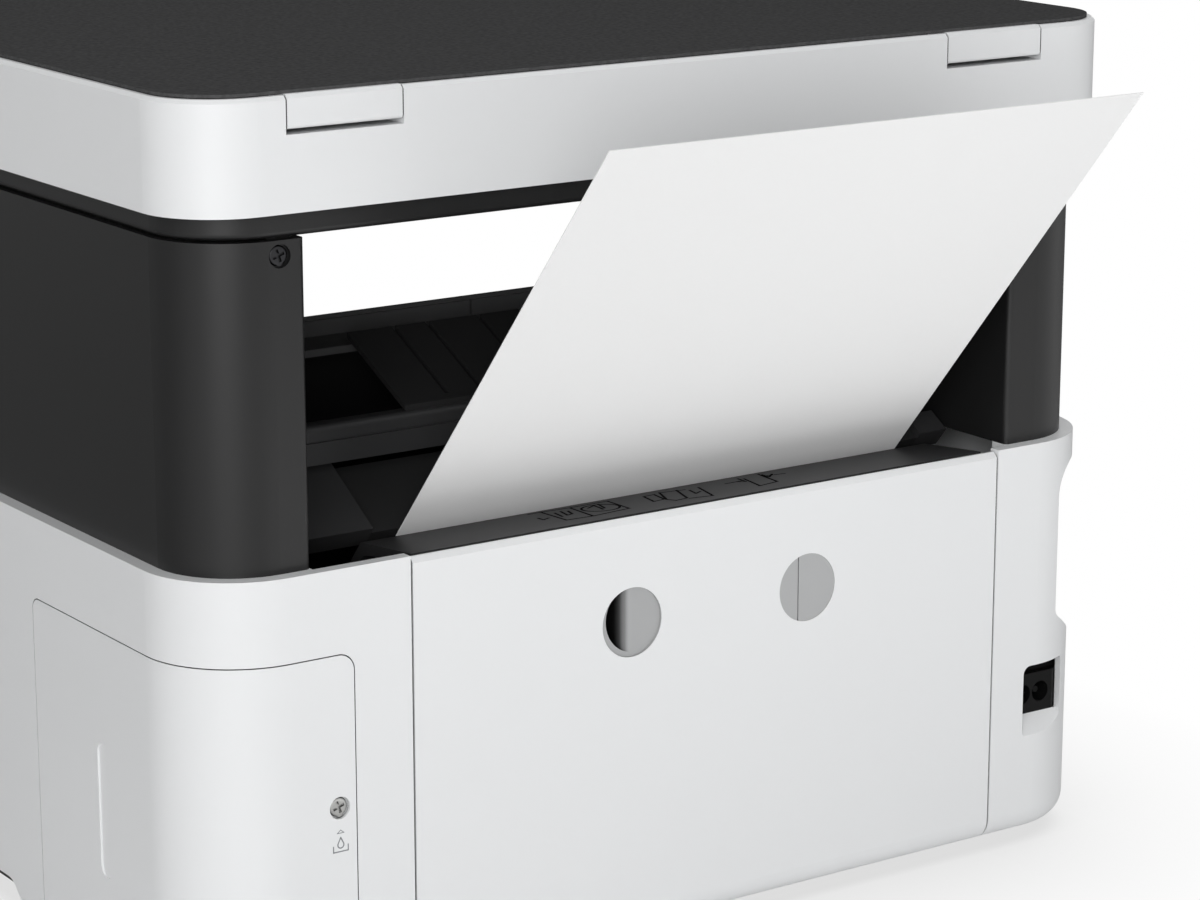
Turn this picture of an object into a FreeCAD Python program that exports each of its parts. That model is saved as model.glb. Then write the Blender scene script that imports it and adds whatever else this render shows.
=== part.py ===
import FreeCAD, Part
import math
import os

# Inkjet printer with a flatbed scanner on top, a paper cassette in front and a rear slot for single sheets.
# Millimetres. X runs across (the maintenance cover is on +X), the front faces -Y, the floor is Z = 0.
# Sizes are written about the middle of the body; place() then moves the origin under the whole object.

V = FreeCAD.Vector
ALONG_X = V(1, 0, 0)
ALONG_Y = V(0, 1, 0)
ALONG_Z = V(0, 0, 1)

# Body
body_width = 375.0
body_depth = 347.0
foot_height = 4.0
rim_height = 151.0
corner_radius = 33.0
bottom_round = 9.0
wall = 2.5
flange = 12.0
seam = 0.4
touch = 0.25
running_fit = 0.05
margin = 1.0
half_width = body_width / 2
half_depth = body_depth / 2

# Shoulders that slope down to the front
shoulder_start = half_depth - 61.5
shoulder_front_height = rim_height - 18.5

# Grip notches under both sides
notch_front = 60.0
notch_rear = 40.0
notch_height = 12.0
notch_round = 9.0
notch_depth = 16.0

# Hand recess in the left side, which runs out at the rear corner
recess_depth = 22.5
recess_high = rim_height - 10.0
recess_low = recess_high - 56.0
recess_fall = 15.5
recess_front = 40.0
recess_round = 12.0
recess_low_round = 4.0

# Rear cover and its finger holes
cover_right = half_width - 78.0
cover_left = half_width - 54.2
cover_top = rim_height - 0.7
cover_seam = 0.8
cover_return = 9.0
cover_chamfer = 1.8
finger_radius = 12.0
finger_height = rim_height - 36.4
finger_right = 24.5
finger_left = 49.0
finger_depth = 12.0
finger_step = 1.0
finger_tab_round = 4.0
mouth_shift = 1.9
mouth_rise = 1.3
cup_wall = 2.5
blank_step = 0.35
blank_line = finger_left - 3.8
blank_line_width = 0.5

# Maintenance cover on the right rear corner
service_inner = half_width - 55.75
service_front = half_depth - 114.2
service_top = rim_height - 28.1
service_bottom = 14.0
service_rear_round = 5.5
service_side_round = 4.0
screw_across = half_width - 49.8
screw_height = 72.5
screw_recess_radius = 3.75
screw_recess_depth = 1.6
screw_head_radius = 3.3
screw_head_height = 1.4
screw_shank_radius = 1.5
screw_shank_length = 9.0
groove_front = half_depth - 70.0
groove_rear = half_depth - 61.5
groove_low = 39.0
groove_high = 85.2
groove_depth = 0.7

# Mains inlet at the left rear corner
inlet_inner = half_width - 38.5
inlet_outer = half_width - 17.2
inlet_low = 47.6
inlet_high = 68.0
inlet_round = 3.2
inlet_set_back = 6.0
inlet_step = 5.4
inlet_step_depth = 3.0
inlet_body_depth = 18.0
inlet_well = 11.0
inlet_well_radius = 3.8
inlet_pin_radius = 1.2
inlet_pin_spread = 4.3
inlet_well_across = inlet_inner + 9.2
scoop_low = 40.5
scoop_wall = 3.0

# Upper cabinet
tower_inset = 5.0
tower_wall = 3.0
tower_top = 256.0
tower_front = 95.0
cavity_right = half_width - 44.0
cavity_left = half_width - 46.0
tower_edge_round = 2.0
bridge_front = half_depth - 13.5
bridge_bottom = tower_top - 64.0
tower_screw_across = half_width - 35.2
tower_screw_height = tower_top - 4.9

# Scanner unit
scanner_gap = 0.6
band_bottom = tower_top + 8.8
band_top = band_bottom + 35.9
band_radius = 26.0
band_wall = 3.0
band_chamfer = 1.2
base_inset = 5.5
base_round = 2.0
tray_wall = 2.5
deck_top = band_top - 10.2
deck_thickness = 2.5
glass_width = 306.0
glass_depth = 226.0
glass_thickness = 2.5
glass_lap = 3.0
scanner_hinge_across = half_width - 36.75
scanner_hinge_setback = 3.1
scanner_hinge_rise = 3.0
knuckle_width = 8.0
knuckle_radius = 1.6
scanner_pin_radius = 0.8
neck_relief = 0.2
hinge_pin_radius = 1.2
hinge_boss = 6.0

# Sensor bar under the glass
rail_radius = 4.0
rail_height = band_bottom + 3.2
rail_block = 12.0
rail_span = half_width - 19.5
sensor_length = glass_depth
sensor_width = 22.0
sensor_home = glass_width / 2 - 7.0
sensor_top_gap = 0.8
sensor_thickness = 9.0
sensor_neck = 7.0

# Document lid
lid_inset = 2.8
lid_edge = 1.0
slab_inset = 10.0
slab_rear = 11.1
slab_bottom = band_top - 8.7
pad_bottom = deck_top + 0.3
pad_width = glass_width - 2.0
pad_depth = glass_depth - 2.0
pad_recess = 4.0
lid_shell = 2.0
cap_right_inner = half_width - 76.5
cap_right_outer = half_width - 36.0
cap_left_inner = half_width - 81.0
cap_left_outer = half_width - 39.7
cap_bottom = band_top - 10.3
cap_round = 1.2
cap_seam = 0.5
cap_gap = 1.6
cap_plate = 3.0
lid_axis_setback = 2.9
lid_axis_rise = 2.5
barrel_radius = 2.4
cheek_width = 7.0

# Print engine
frame_plate_y = 60.0
plate_thickness = 1.5
cheek_inner = cavity_left - 2.0
frame_low = 76.0
frame_front = 25.0
frame_rear = 120.0
frame_cheek_top = 150.0
frame_rear_top = 176.0
beam_front = 57.0
beam_face = 59.5
beam_rear = 78.0
beam_low = 195.5
beam_foot = 2.5
beam_top = 203.5
beam_lip = 1.3
beam_lip_width = 1.6
beam_joint = 14.0
beam_joint_width = 0.8
bar_front = 111.0
bar_rear = 117.0
bar_low = 169.0
bar_top = 182.2
bar_round = 2.1
bar_step = 5.0
bar_groove = 0.8
slat_top = 202.5
slat_edge = cheek_inner - 63.5
slat_widths = (17.5, 13.5, 21.0)
slat_plate = 2.0
slat_groove = 1.6
slat_groove_depth = 1.4
platen_front = 0.0
platen_rear = 58.0
platen_low = 55.0
platen_top = 62.5
platen_rib = 2.0
platen_rib_pitch = 24.0
platen_rib_width = 2.0

# Sheet of paper in the rear slot
sheet_width = 210.0
sheet_length = 297.0
sheet_thickness = 0.3
sheet_lean = 40.5
sheet_inside = 109.0
path_half = sheet_width / 2 + 10.0
feed_share = 0.49
feed_centre = -feed_share * (cheek_inner - path_half)
slot_depth_y = half_depth - 37.2
slot_height = rim_height - 4.0

# Rear feed slot
guide_gap = 1.0
guide_plate = 2.0
ledge_rear = half_depth - 5.5
ledge_rise = rim_height - 1.0
rear_guide_drop = 45.0
guide_rib_shares = (0.05, 0.20, 0.50, 0.80, 0.95)
ramp_top_y = slot_depth_y - 26.3
ramp_top_z = slot_height + 18.0
ramp_tip_back = 2.2
ramp_drop = 74.0
cheek_rise = 4.0
boss_radius = 7.0

# Carriage
shaft_radius = 5.0
shaft_y = 44.0
shaft_z = 118.0
carriage_width = 62.0
carriage_home = cheek_inner - 32.5
carriage_front = 4.0
carriage_rear = 55.0
carriage_low = 76.0
carriage_top = 150.0
carriage_round = 4.0
head_low = 65.5
head_inset = 8.0
belt_z = 138.0
belt_width = 3.2
belt_thickness = 1.2
pulley_radius = 6.0
pulley_across = cheek_inner - 11.5
pulley_bore = 1.5
cap_station_inner = cheek_inner - 41.5
cap_station_top = 63.0
guard_low = 84.0
guard_fold = rim_height - 1.0
guard_top = guard_fold + 18.0

# Gear train of the paper feed
gear_module = 1.25
gear_teeth = 32
pinion_teeth = 12
tooth_height = 0.85
tooth_root = 1.15
tooth_foot_share = 0.30
tooth_tip_share = 0.13
gear_width = 6.0
gear_gap = 2.5
roller_z = 57.5
feed_roller_y = 68.0
feed_roller_radius = 6.0
exit_roller_radius = 5.0
journal_radius = 3.0
pinion_angle = 56.25
motor_radius = 13.0
motor_post_radius = 1.7
motor_length = 10.0
carriage_motor_radius = 11.0
pick_y = 104.0
pick_z = 38.0
pick_radius = 11.0
pick_width = 36.0

# Floor, cassette and output tray
floor_thickness = 2.5
foot_radius = 8.0
foot_across = half_width - 37.5
foot_along = half_depth - 43.5
cassette_half = sheet_width / 2 + 9.0
panel_half = cassette_half + 9.0
cassette_rear = half_depth - 37.5
cassette_low = 9.3
cassette_floor = 2.0
cassette_wall = 2.5
cassette_high_wall = 47.0
cassette_step_y = 84.0
cassette_low_wall = 33.0
cassette_end_wall = 24.0
panel_low = 8.0
panel_top = 47.5
panel_thickness = 3.0
handle_half = 34.0
handle_height = 13.0
handle_round = 8.0
width_guide_front = -70.0
width_guide_rear = 40.0
width_guide_height = 24.0
guide_foot = 16.0
end_guide_y = -half_depth + 8.5
end_guide_half = 26.0
bay_right = half_width - 87.5
bay_left = half_width - 69.5
bay_floor_low = 53.5
bay_floor = 2.5
bay_rear = 28.0
tray_low = 50.8
tray_top = 53.2
tray_rear = 36.0
tray_lip_low = 48.0
tray_rail_low = 48.6
tray_rail_lip = 1.9

# Ink tank
tank_inner = feed_centre + cassette_half + 13.0
tank_outer = half_width - 5.5
tank_rear = 40.0
tank_top = rim_height - 33.0
tank_wall = 2.0
neck_across = (tank_inner + tank_outer) / 2
neck_y = -half_depth + 33.5
neck_radius = 9.0
neck_height = 6.0
neck_bore = 5.0
ink_cap_height = 6.0
ink_cap_radius = 11.0
flap_inner = half_width - 73.5
flap_outer = half_width - 15.5
flap_front = half_depth - 18.5
flap_rear = half_depth - 56.5
flap_thickness = 2.0
flap_barrel = 2.4
flap_pin_radius = 1.2
flap_pin_length = 4.0
window_inner = half_width - 47.5
window_outer = half_width - 35.5
window_low = 62.0
window_high = tank_top - 10.0

# Electrics and waste ink
supply_outer = half_width - 9.5
supply_inner = half_width - 35.5
supply_front = half_depth - 163.5
supply_rear = half_depth - 34.5
supply_top = 45.0
board_front = -30.0
board_rear = half_depth - 65.5
board_gap = 3.0
board_thickness = 1.6
usb_y = half_depth - 83.5
usb_z = recess_low + 21.0
usb_width = 12.0
usb_height = 11.0
usb_length = 16.0
usb_wall = 0.8
waste_inner = half_width - 40.5
waste_outer = half_width - 5.5
waste_front = service_front + 6.7
waste_rear = half_depth - 7.5
waste_top = service_top - 10.9

# Control panel, with its display and buttons
control_left = -half_width + 41.5
control_right = control_left + 110.0
control_low = bridge_bottom + 2.0
control_high = tower_top - 4.0
control_thickness = 9.0
control_round = 6.0
control_gap = 0.4
control_axis_drop = 4.0
control_pin_radius = 1.5
control_ear = 7.0
display_width = 38.0
display_height = 28.0
display_depth = 1.6
display_across = control_left + 27.0
display_up = control_low + 35.0
button_rise = 1.2
button_travel = 0.8
button_gap = 0.25
button_well = 3.2
button_row = control_low + 10.0
pad_row = control_low + 37.0

# Place across, place up and radius of each button
BUTTONS = {
    "power_button": (control_left + 10.0, button_row, 5.0),
    "arrow_pad": (control_left + 78.0, pad_row, 13.0),
    "ok_button": (control_left + 78.0, pad_row, 5.5),
    "stop_button": (control_left + 74.0, button_row, 6.0),
    "start_button": (control_left + 96.0, button_row, 7.0),
}

shell_low = foot_height
flange_top = shell_low + wall
floor_top = flange_top + floor_thickness
rear = half_depth
front = -half_depth
scanner_low = tower_top + scanner_gap
lean = math.radians(sheet_lean)
sheet_dir = V(0, math.sin(lean), math.cos(lean))
sheet_normal = V(0, math.cos(lean), -math.sin(lean))
slot_point = V(0, slot_depth_y, slot_height)
sheet_top_y = slot_depth_y + (sheet_length - sheet_inside) * math.sin(lean)
sheet_back = sheet_thickness * math.cos(lean)
origin_y = (sheet_top_y + sheet_back - half_depth) / 2
gear_radius = gear_module * gear_teeth / 2
pinion_radius = gear_module * pinion_teeth / 2
idler_y = feed_roller_y - 2 * gear_radius
exit_roller_y = idler_y - 2 * gear_radius
gear_outer_face = -(cheek_inner + plate_thickness + gear_gap)
gear_inner_face = gear_outer_face - gear_width
lid_axis_y = rear - lid_axis_setback
lid_axis_z = cap_bottom + lid_axis_rise
scanner_axis_y = rear - base_inset - scanner_hinge_setback
scanner_axis_z = scanner_low + scanner_hinge_rise
control_face = -(bridge_front + control_gap + control_thickness)
control_axis_y = -(bridge_front + control_gap + control_thickness / 2)
control_axis_z = control_high - control_axis_drop


def block(x0, x1, y0, y1, z0, z1):
    return Part.makeBox(x1 - x0, y1 - y0, z1 - z0, V(x0, y0, z0))


def rod(x, y, z, axis, length, radius):
    return Part.makeCylinder(radius, length, V(x, y, z), axis)


def rounded(x0, x1, y0, y1, radius, z0, z1):
    """Upright prism with rounded corners in plan."""
    solid = block(x0, x1, y0, y1, z0, z1)
    upright = [e for e in solid.Edges if e.BoundBox.ZLength > (z1 - z0) / 2]
    return solid.makeFillet(radius, upright)


def body_prism(inset, z0, z1, radius=corner_radius):
    x = half_width - inset
    y = half_depth - inset
    return rounded(-x, x, -y, y, radius - inset, z0, z1)


def level_edges(shape, z):
    return [e for e in shape.Edges if abs(e.BoundBox.ZMin - z) < 1e-4 and abs(e.BoundBox.ZMax - z) < 1e-4]


def side_profile(points, x0, x1):
    """Closed polygon of (y, z) points, drawn out along X."""
    corners = [V(x0, y, z) for y, z in points]
    face = Part.Face(Part.makePolygon(corners + corners[:1]))
    return face.extrude(V(x1 - x0, 0, 0))


def cut(shape, *tools):
    for tool in tools:
        shape = shape.cut(tool)
    return shape


def fuse(shape, *others):
    return shape.multiFuse(list(others)).removeSplitter()


def solids_at(shape, sign):
    """The solids of a cut shell that lie on one side of the middle."""
    return [s for s in shape.Solids if s.CenterOfMass.x * sign > 0]


def shoulder_height(y):
    slope = (rim_height - shoulder_front_height) / (half_depth - shoulder_start)
    return rim_height + (y + shoulder_start) * slope


def above_shoulder(drop):
    """Everything above the sloping shoulders, lowered by the given drop."""
    far = front - margin
    top = rim_height + margin
    start = -shoulder_start
    points = [(start, rim_height - drop), (far, shoulder_height(far) - drop), (far, top), (start, top)]
    return side_profile(points, -body_width, body_width)


def recess_tool(grow):
    """Hand recess of the left side: its inner edges are rounded and its floor falls away to the outside."""
    inner = -half_width + recess_depth + grow
    low = recess_low - grow
    high = recess_high + grow
    y0 = -recess_front - grow
    outer_low = low - recess_fall * (body_width + inner) / recess_depth
    points = [(inner, low), (inner, high), (-body_width, high), (-body_width, outer_low)]
    corners = [V(x, y0, z) for x, z in points]
    tool = Part.Face(Part.makePolygon(corners + corners[:1])).extrude(V(0, body_depth, 0))
    along = [e for e in tool.Edges if e.BoundBox.YLength > body_depth / 2 and e.BoundBox.XMin > -half_width]
    tool = tool.makeFillet(recess_round + grow, [e for e in along if e.BoundBox.ZMin > recess_low])
    along = [e for e in level_edges(tool, low) if e.BoundBox.YLength > body_depth / 2]
    return tool.makeFillet(recess_low_round + grow, [e for e in along if e.BoundBox.XMin > -half_width])


def body_outer():
    outer = body_prism(0, shell_low, rim_height)
    outer = outer.makeFillet(bottom_round, level_edges(outer, shell_low))
    outer = cut(outer, above_shoulder(0))
    return cut(outer, recess_tool(0))


def body_inner():
    inner = body_prism(wall, flange_top, rim_height - wall)
    inner = inner.makeFillet(bottom_round - wall, level_edges(inner, flange_top))
    return cut(inner, above_shoulder(wall), recess_tool(wall))


def grip_notch(side):
    x = side * half_width
    tool = block(x - notch_depth, x + notch_depth, -notch_front, notch_rear, -notch_height,
                 shell_low + notch_height)
    edges = [e for e in tool.Edges if e.BoundBox.XLength > notch_depth and e.BoundBox.ZMin > 0]
    return tool.makeFillet(notch_round, edges)


def rear_gap(grow):
    return block(-cover_left - grow, cover_right + grow, rear - 2 * flange, rear + margin, 0,
                 rim_height + margin)


def service_gap(grow):
    """Space of the maintenance cover: the right rear corner below a top seam with rounded ends."""
    x0 = service_inner - grow
    y0 = service_front - grow
    top = service_top + grow
    tool = block(x0, body_width, y0, body_depth, service_bottom - grow, top)
    ends = [e for e in level_edges(tool, top) if e.BoundBox.XMax < x0 + seam]
    rear_end = tool.makeFillet(service_rear_round + grow, ends)
    ends = [e for e in level_edges(tool, top) if e.BoundBox.YMax < y0 + seam]
    side_end = tool.makeFillet(service_side_round + grow, ends)
    low_inner = block(x0, half_width - flange, y0, rear - flange, 0, rim_height)
    return cut(rear_end.common(side_end), low_inner)


def cassette_gap():
    x0 = feed_centre - panel_half - seam
    x1 = feed_centre + panel_half + seam
    return block(x0, x1, front - margin, front + 2 * flange, 0, panel_top + seam)


def housings():
    """White lower sides: one hollow body, opened at the top, foot, rear and front into two mouldings."""
    shell = cut(body_outer(), body_inner())
    top = body_prism(flange, rim_height - 2 * wall, rim_height + margin)
    top = cut(top, block(-body_width, body_width, -body_depth, -tower_front, 0, body_depth))
    lip = rear - wall - cover_chamfer
    slot = block(-cavity_left, cavity_right, 0, lip, rim_height - 2 * wall, rim_height + margin)
    foot = body_prism(flange, 0, flange_top + margin)
    bay = block(-bay_left, bay_right, front - margin, -tower_front + flange, 0, rim_height + margin)
    shell = cut(shell, top, slot, foot, rear_gap(cover_seam), bay, cassette_gap())
    right = cut(solids_at(shell, 1)[0], grip_notch(1), service_gap(seam), flap_gap(seam), window_gap())
    for bearing, bore in flap_bearings():
        right = cut(fuse(right, bearing), bore)
    left = cut(solids_at(shell, -1)[0], grip_notch(-1), inlet_gap(), usb_gap())
    return right, fuse(left, inlet_scoop())


def window_gap():
    return block(window_inner, window_outer, front - margin, front + 2 * wall, window_low, window_high)


def inlet_gap():
    """Cut-out of the mains inlet, rounded at its inner corners."""
    tool = block(-inlet_outer, -inlet_inner, rear - 2 * flange, rear + margin, scoop_low, inlet_high)
    edges = [e for e in tool.Edges if e.BoundBox.YLength > flange and e.BoundBox.XMin > -inlet_outer]
    return tool.makeFillet(inlet_round, edges)


def inlet_scoop():
    """Sloping white floor under the mains inlet, cut to the body's corner."""
    y0 = rear - inlet_set_back
    y1 = rear + margin
    points = [(y0, scoop_low - scoop_wall), (y1, scoop_low - scoop_wall), (y1, scoop_low), (y0, inlet_low)]
    wedge = side_profile(points, -inlet_outer, -inlet_inner)
    return wedge.common(body_outer())


def usb_gap():
    x1 = -half_width + recess_depth + usb_length
    half_y = usb_width / 2 + touch
    half_z = usb_height / 2 + touch
    return block(-half_width, x1, usb_y - half_y, usb_y + half_y, usb_z - half_z, usb_z + half_z)


def rear_cover():
    """White panel across the rear with side returns, a chamfered top, a finger hole and a blanked one."""
    ring = cut(body_outer(), body_inner())
    panel = ring.common(rear_gap(0))
    panel = cut(panel, block(-body_width, body_width, 0, body_depth, cover_top, rim_height + margin))
    panel = cut(panel, block(-body_width, body_width, 0, rear - cover_return, 0, rim_height + margin))
    panel = cut(panel, block(-body_width, body_width, 0, rear - wall, rim_height - 2 * wall, rim_height))
    top = [e for e in level_edges(panel, cover_top) if e.BoundBox.XLength > cover_right]
    top = [e for e in top if e.BoundBox.YMin > rear - wall / 2]
    panel = panel.makeChamfer(cover_chamfer, top)
    for x0 in (-cover_left, cover_right - wall):
        rib = block(x0, x0 + wall, rear - cover_return, rear - wall, shell_low + bottom_round,
                    rim_height - 2 * wall)
        panel = panel.fuse(rib)
    cup = rod(finger_right, rear - finger_depth, finger_height, ALONG_Y, finger_depth - wall,
              finger_radius + cup_wall)
    return cut(fuse(panel, cup), *finger_hole(), *blanked_hole())


def rear_disc(x, depth):
    """Round cutter of a finger hole, from outside the rear face to the given depth."""
    return rod(x, rear - depth, finger_height, ALONG_Y, depth + margin, finger_radius)


def finger_hole():
    """Cutters of the open hole: a shallow step, then a mouth beside a tab with a rounded edge."""
    x = finger_right
    floor = rear - finger_step
    low = floor - finger_tab_round
    back = rear - finger_depth - margin
    half_turn = finger_tab_round * math.sqrt(0.5)
    start = V(x, floor, 0)
    middle = V(x + half_turn, low + half_turn, 0)
    end = V(x + finger_tab_round, low, 0)
    corners = [end, V(end.x, back, 0), V(x + finger_radius, back, 0),
               V(x + finger_radius, rear + margin, 0)]
    corners += [V(x, rear + margin, 0), start]
    plan = Part.Wire([Part.Arc(start, middle, end).toShape()] + Part.makePolygon(corners).Edges)
    mouth = Part.Face(plan).extrude(V(0, 0, rim_height))
    length = finger_depth + 2 * margin
    bore = rod(x - mouth_shift, back, finger_height + mouth_rise, ALONG_Y, length, finger_radius)
    return rear_disc(x, finger_step), mouth.common(bore).common(rear_disc(x, finger_depth + margin))


def blanked_hole():
    """Cutters of the closed hole: a shallow step with one upright line in its floor."""
    x0 = -blank_line - blank_line_width / 2
    line = block(x0, x0 + blank_line_width, 0, rear, 0, rim_height)
    return rear_disc(-finger_left, blank_step), line.common(rear_disc(-finger_left, 2 * blank_step))


def along_sheet(distance, offset):
    """Point beside the sheet's plane: distance down from the slot, offset to the rear side."""
    p = slot_point - sheet_dir * distance + sheet_normal * offset
    return (p.y, p.z)


def rear_guide():
    """Dark ledge behind the rear cover, turned down along the rear face of the sheet, with ribs beneath."""
    near = touch + sheet_thickness
    far = near + guide_plate
    tip = along_sheet(0, near)
    low_near = along_sheet(rear_guide_drop, near)
    low_far = along_sheet(rear_guide_drop, far)
    inner = along_sheet(guide_plate, far + guide_plate)
    ledge = [(ledge_rear, ledge_rise), tip, low_near, low_far, inner,
             (ledge_rear, ledge_rise - guide_plate)]
    x0 = -cover_left + wall + touch
    x1 = cover_right - wall - touch
    guide = side_profile(ledge, x0, x1)
    ribs = []
    reach = (rear - wall, ledge_rise - guide_plate)
    for share in guide_rib_shares:
        x = x0 + share * (x1 - x0)
        rib = [inner, low_far, (rear - wall, low_far[1] + finger_radius + cup_wall), reach,
               (ledge_rear, reach[1])]
        ribs.append(side_profile(rib, x - wall / 2, x + wall / 2))
    return fuse(guide, *ribs)


def service_cover():
    """White corner cover of the maintenance box, with a screw recess and a shallow upright groove."""
    ring = cut(body_outer(), body_inner())
    cover = ring.common(service_gap(0))
    y = rear - screw_recess_depth
    boss = rod(screw_across, rear - 2 * wall, screw_height, ALONG_Y, wall, screw_recess_radius + wall)
    recess = rod(screw_across, y, screw_height, ALONG_Y, wall, screw_recess_radius)
    hole = rod(screw_across, rear - 3 * wall, screw_height, ALONG_Y, 3 * wall, screw_shank_radius + touch)
    width = groove_rear - groove_front
    depth = half_width - groove_depth
    tool = block(depth, half_width + wall, groove_front, groove_rear, groove_low, groove_high)
    edges = [e for e in tool.Edges if e.BoundBox.XLength > wall]
    tool = tool.makeFillet(width / 2 - seam, edges)
    return cut(cover.fuse(boss), recess, hole, tool)


def screw(x, y, z):
    """Fastener whose head faces the rear."""
    head = rod(x, y - screw_head_height, z, ALONG_Y, screw_head_height, screw_head_radius)
    shank = rod(x, y - screw_shank_length, z, ALONG_Y, screw_shank_length - screw_head_height,
                screw_shank_radius)
    return head.fuse(shank)


def service_screw():
    return screw(screw_across, rear - screw_recess_depth + screw_head_height, screw_height)


def base_chassis():
    """Floor plate inside the housings, with a runner on each side of the cassette."""
    inset = bottom_round + seam
    floor = body_prism(inset, flange_top, floor_top)
    rear_relief = block(-cover_left, cover_right, rear - cover_return - 2 * margin, rear, 0, rim_height)
    front_relief = block(feed_centre - panel_half, feed_centre + panel_half, front, front + flange, 0,
                         rim_height)
    runners = []
    for side in (-1, 1):
        x = feed_centre + side * (cassette_half + touch + wall / 2)
        y1 = frame_rear + flange
        runners.append(block(x - wall / 2, x + wall / 2, front + flange, y1, floor_top, cassette_end_wall))
    return fuse(cut(floor, rear_relief, front_relief), *runners)


def rubber_feet():
    feet = []
    for x in (-foot_across, foot_across):
        for y in (-foot_along, foot_along):
            feet.append(rod(x, y, 0, ALONG_Z, flange_top, foot_radius))
    return Part.makeCompound(feet)


def tower(side, inner_x):
    """Hollow black tower, open at its foot, with the body's corner at the rear."""
    x0, x1 = sorted((side * inner_x, side * body_width))
    outer = body_prism(tower_inset, rim_height, tower_top)
    outer = outer.common(block(x0, x1, -tower_front, body_depth, 0, body_depth))
    edge = [e for e in outer.Edges if e.BoundBox.ZLength > wall and e.BoundBox.XLength < seam]
    edge = [e for e in edge if abs(e.BoundBox.XMin - side * inner_x) < seam and e.BoundBox.YMin > 0]
    outer = outer.makeFillet(tower_edge_round, edge)
    hollow = body_prism(tower_inset + tower_wall, 0, tower_top - tower_wall)
    x0, x1 = sorted((side * (inner_x + tower_wall), side * body_width))
    hollow = hollow.common(block(x0, x1, -tower_front + tower_wall, body_depth, 0, body_depth))
    return cut(outer, hollow)


def upper_cabinet():
    """Both towers and the bridge that joins them across the front, above the output bay."""
    x = half_width - tower_inset
    radius = corner_radius - tower_inset
    ring = rounded(-x, x, -bridge_front, bridge_front, radius, bridge_bottom, tower_top)
    inside = x - tower_wall
    core = rounded(-inside, inside, -bridge_front + tower_wall, bridge_front, radius - tower_wall, 0,
                   body_depth)
    ring = cut(ring, core, block(-body_width, body_width, -tower_front, body_depth, 0, body_depth))
    cabinet = fuse(tower(1, cavity_right), tower(-1, cavity_left), ring)
    y = rear - tower_inset - screw_recess_depth
    tools = []
    for x in (-tower_screw_across, tower_screw_across):
        tools.append(rod(x, y, tower_screw_height, ALONG_Y, wall, screw_recess_radius))
        tools.append(rod(x, y - 2 * wall, tower_screw_height, ALONG_Y, 3 * wall, screw_shank_radius))
    cabinet = cut(cabinet, *tools)
    ears = []
    reach = control_pin_radius + wall
    for side, edge in ((-1, control_left), (1, control_right)):
        near = edge + side * touch
        x0, x1 = sorted((near, near + side * control_ear))
        ears.append(block(x0, x1, control_axis_y, -bridge_front, control_axis_z - reach,
                          control_axis_z + reach))
        ears.append(rod(x0, control_axis_y, control_axis_z, ALONG_X, x1 - x0, reach))
        x0, x1 = sorted((near, edge - side * control_ear))
        ears.append(rod(x0, control_axis_y, control_axis_z, ALONG_X, x1 - x0, control_pin_radius))
    return fuse(cabinet, scanner_knuckle(1), scanner_knuckle(-1), *ears)


def tower_screws():
    y = rear - tower_inset - screw_recess_depth + screw_head_height
    sides = (-tower_screw_across, tower_screw_across)
    return Part.makeCompound([screw(x, y, tower_screw_height) for x in sides])


def scanner_knuckle(side):
    """Hinge knuckle that stands on a tower, its neck kept clear of the skin that swings under it."""
    x0 = side * scanner_hinge_across - knuckle_width / 2
    y0 = scanner_axis_y - knuckle_radius
    y1 = scanner_axis_y - neck_relief
    barrel = rod(x0, scanner_axis_y, scanner_axis_z, ALONG_X, knuckle_width, knuckle_radius)
    neck = block(x0, x0 + knuckle_width, y0, y1, tower_top, scanner_axis_z)
    bore = rod(x0, scanner_axis_y, scanner_axis_z, ALONG_X, knuckle_width, scanner_pin_radius + running_fit)
    return cut(fuse(barrel, neck), bore)


def scanner_pin(side):
    length = knuckle_width + 2 * hinge_boss
    x0 = side * scanner_hinge_across - length / 2
    return rod(x0, scanner_axis_y, scanner_axis_z, ALONG_X, length, scanner_pin_radius)


def scanner_base():
    """Black tray under the scanner, with rail posts, and hinge bosses hidden behind its rear skin."""
    outer = body_prism(base_inset, scanner_low, band_bottom)
    outer = outer.makeFillet(base_round, level_edges(outer, scanner_low))
    tray = cut(outer, body_prism(base_inset + tray_wall, scanner_low + tray_wall, body_depth))
    posts = []
    tools = [rod(-rail_span, 0, rail_height, ALONG_X, 2 * rail_span, rail_radius)]
    reach = knuckle_radius + touch
    for side in (-1, 1):
        x = side * (rail_span + rail_block / 2)
        top = rail_height + rail_radius + wall
        posts.append(block(x - rail_block / 2, x + rail_block / 2, -rail_block, rail_block, scanner_low,
                           top))
        x = side * scanner_hinge_across
        half = knuckle_width / 2 + hinge_boss
        y1 = rear - base_inset - base_round
        posts.append(block(x - half, x + half, scanner_axis_y - 2 * knuckle_radius, y1,
                           scanner_low + base_round, band_bottom))
        half = knuckle_width / 2 + touch
        y0 = scanner_axis_y - reach
        tools.append(block(x - half, x + half, y0, scanner_axis_y + reach, 0, scanner_axis_z + reach))
    return fuse(cut(fuse(tray, *posts), *tools), scanner_pin(1), scanner_pin(-1))


def cap_spans():
    return ((cap_right_inner, cap_right_outer), (-cap_left_outer, -cap_left_inner))


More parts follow.
